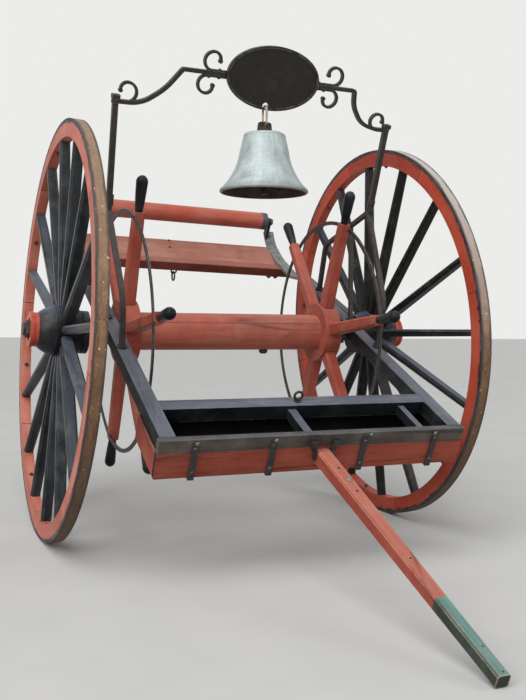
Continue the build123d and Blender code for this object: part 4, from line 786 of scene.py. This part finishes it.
# Lengthwise joint of the drum's two halves
SEAM_FACES = (0, -0.874, 0.486)
SEAM_RADIUS = 0.0668
SEAM_SIZE = (0.708, 0.0024, 0.0008)
seam = bmesh.new()
seam_place = AXLE @ turn_to(SEAM_FACES) @ Matrix.Translation((0, 0, SEAM_RADIUS))
bmesh.ops.create_cube(seam, size=1.0, matrix=seam_place @ Matrix.Diagonal((*SEAM_SIZE, 1)))
add_piece("drum_seam", seam, "reel", "hole")

# Camera at the photograph's place
CAMERA_PLACE = (-1.1544, -3.055 + AXLE_Y, 0.7573)
AZIMUTH = -0.4017
ELEVATION = 0.0348
ROLL = 0.0123
FOCAL_PIXELS = 881.1
PHOTO_HEIGHT = 700.0
SENSOR = 36.0
back = Vector((math.sin(AZIMUTH) * math.cos(ELEVATION), -math.cos(AZIMUTH) * math.cos(ELEVATION),
               math.sin(ELEVATION)))
right = (-back).cross(Vector((0, 0, 1))).normalized()
up = right.cross(-back)
right, up = right * math.cos(ROLL) + up * math.sin(ROLL), up * math.cos(ROLL) - right * math.sin(ROLL)
scene = bpy.context.scene
camera = bpy.data.objects.new("camera", bpy.data.cameras.new("camera"))
scene.collection.objects.link(camera)
camera.matrix_world = Matrix.Translation(CAMERA_PLACE) @ Matrix((right, up, back)).transposed().to_4x4()
camera.data.sensor_fit = "AUTO"
camera.data.sensor_width = SENSOR
camera.data.lens = SENSOR * FOCAL_PIXELS / PHOTO_HEIGHT
scene.camera = camera

# Floor
FLOOR_SIZE = 60
FLOOR_TONES = ((0.46, 0.46, 0.45), (0.50, 0.495, 0.485))
bpy.ops.mesh.primitive_plane_add(size=FLOOR_SIZE, location=(0, 0, 0))
floor = bpy.context.object
floor.name = "floor"
net = Net("floor", rough=0.75, spec=0.2)
tone = net.band(net.noise(net.coord, 3.0, 5.0, 0.6), 0.3, 0.7)
floor.data.materials.append(net.finish(net.mix(tone, *FLOOR_TONES)))

# World: a soft sky for the light, a pale wall for the eye and for reflections
SKY_TONE = (0.86, 0.87, 0.88, 1)
SKY_STRENGTH = 0.34
WALL_TONE = (0.84, 0.84, 0.83, 1)
scene.view_settings.view_transform = "Standard"
world = bpy.data.worlds.new("studio")
scene.world = world
world.use_nodes = True
tree = world.node_tree
sky = tree.nodes["Background"]
sky.inputs["Color"].default_value = SKY_TONE
sky.inputs["Strength"].default_value = SKY_STRENGTH
wall = tree.nodes.new("ShaderNodeBackground")
wall.inputs["Color"].default_value = WALL_TONE
wall.inputs["Strength"].default_value = 1.0
path = tree.nodes.new("ShaderNodeLightPath")
shown = path.outputs["Is Camera Ray"]
for ray in ("Is Glossy Ray", "Is Transmission Ray"):
    either = tree.nodes.new("ShaderNodeMath")
    either.operation = "MAXIMUM"
    tree.links.new(shown, either.inputs[0])
    tree.links.new(path.outputs[ray], either.inputs[1])
    shown = either.outputs[0]
blend = tree.nodes.new("ShaderNodeMixShader")
tree.links.new(shown, blend.inputs[0])
tree.links.new(sky.outputs[0], blend.inputs[1])
tree.links.new(wall.outputs[0], blend.inputs[2])
tree.links.new(blend.outputs[0], tree.nodes["World Output"].inputs["Surface"])


def lamp(kind, name, place, target, power, **more):
    data = bpy.data.lights.new(name, kind)
    data.energy = power
    for key, value in more.items():
        setattr(data, key, value)
    obj = bpy.data.objects.new(name, data)
    scene.collection.objects.link(obj)
    obj.location = place
    obj.rotation_euler = (Vector(target) - Vector(place)).to_track_quat("-Z", "Y").to_euler()


lamp("SUN", "key", place=(-3.0, -3.4, 6.0), target=(0, 0, 0.6), power=2.9, angle=math.radians(60))
lamp("AREA", "fill", place=(4.4, -3.4, 3.2), target=(0, 0.1, 0.6), power=90, size=3.0)
lamp("AREA", "side", place=(-4.6, -2.2, 2.4), target=(0, 0.1, 0.7), power=90, size=2.5)
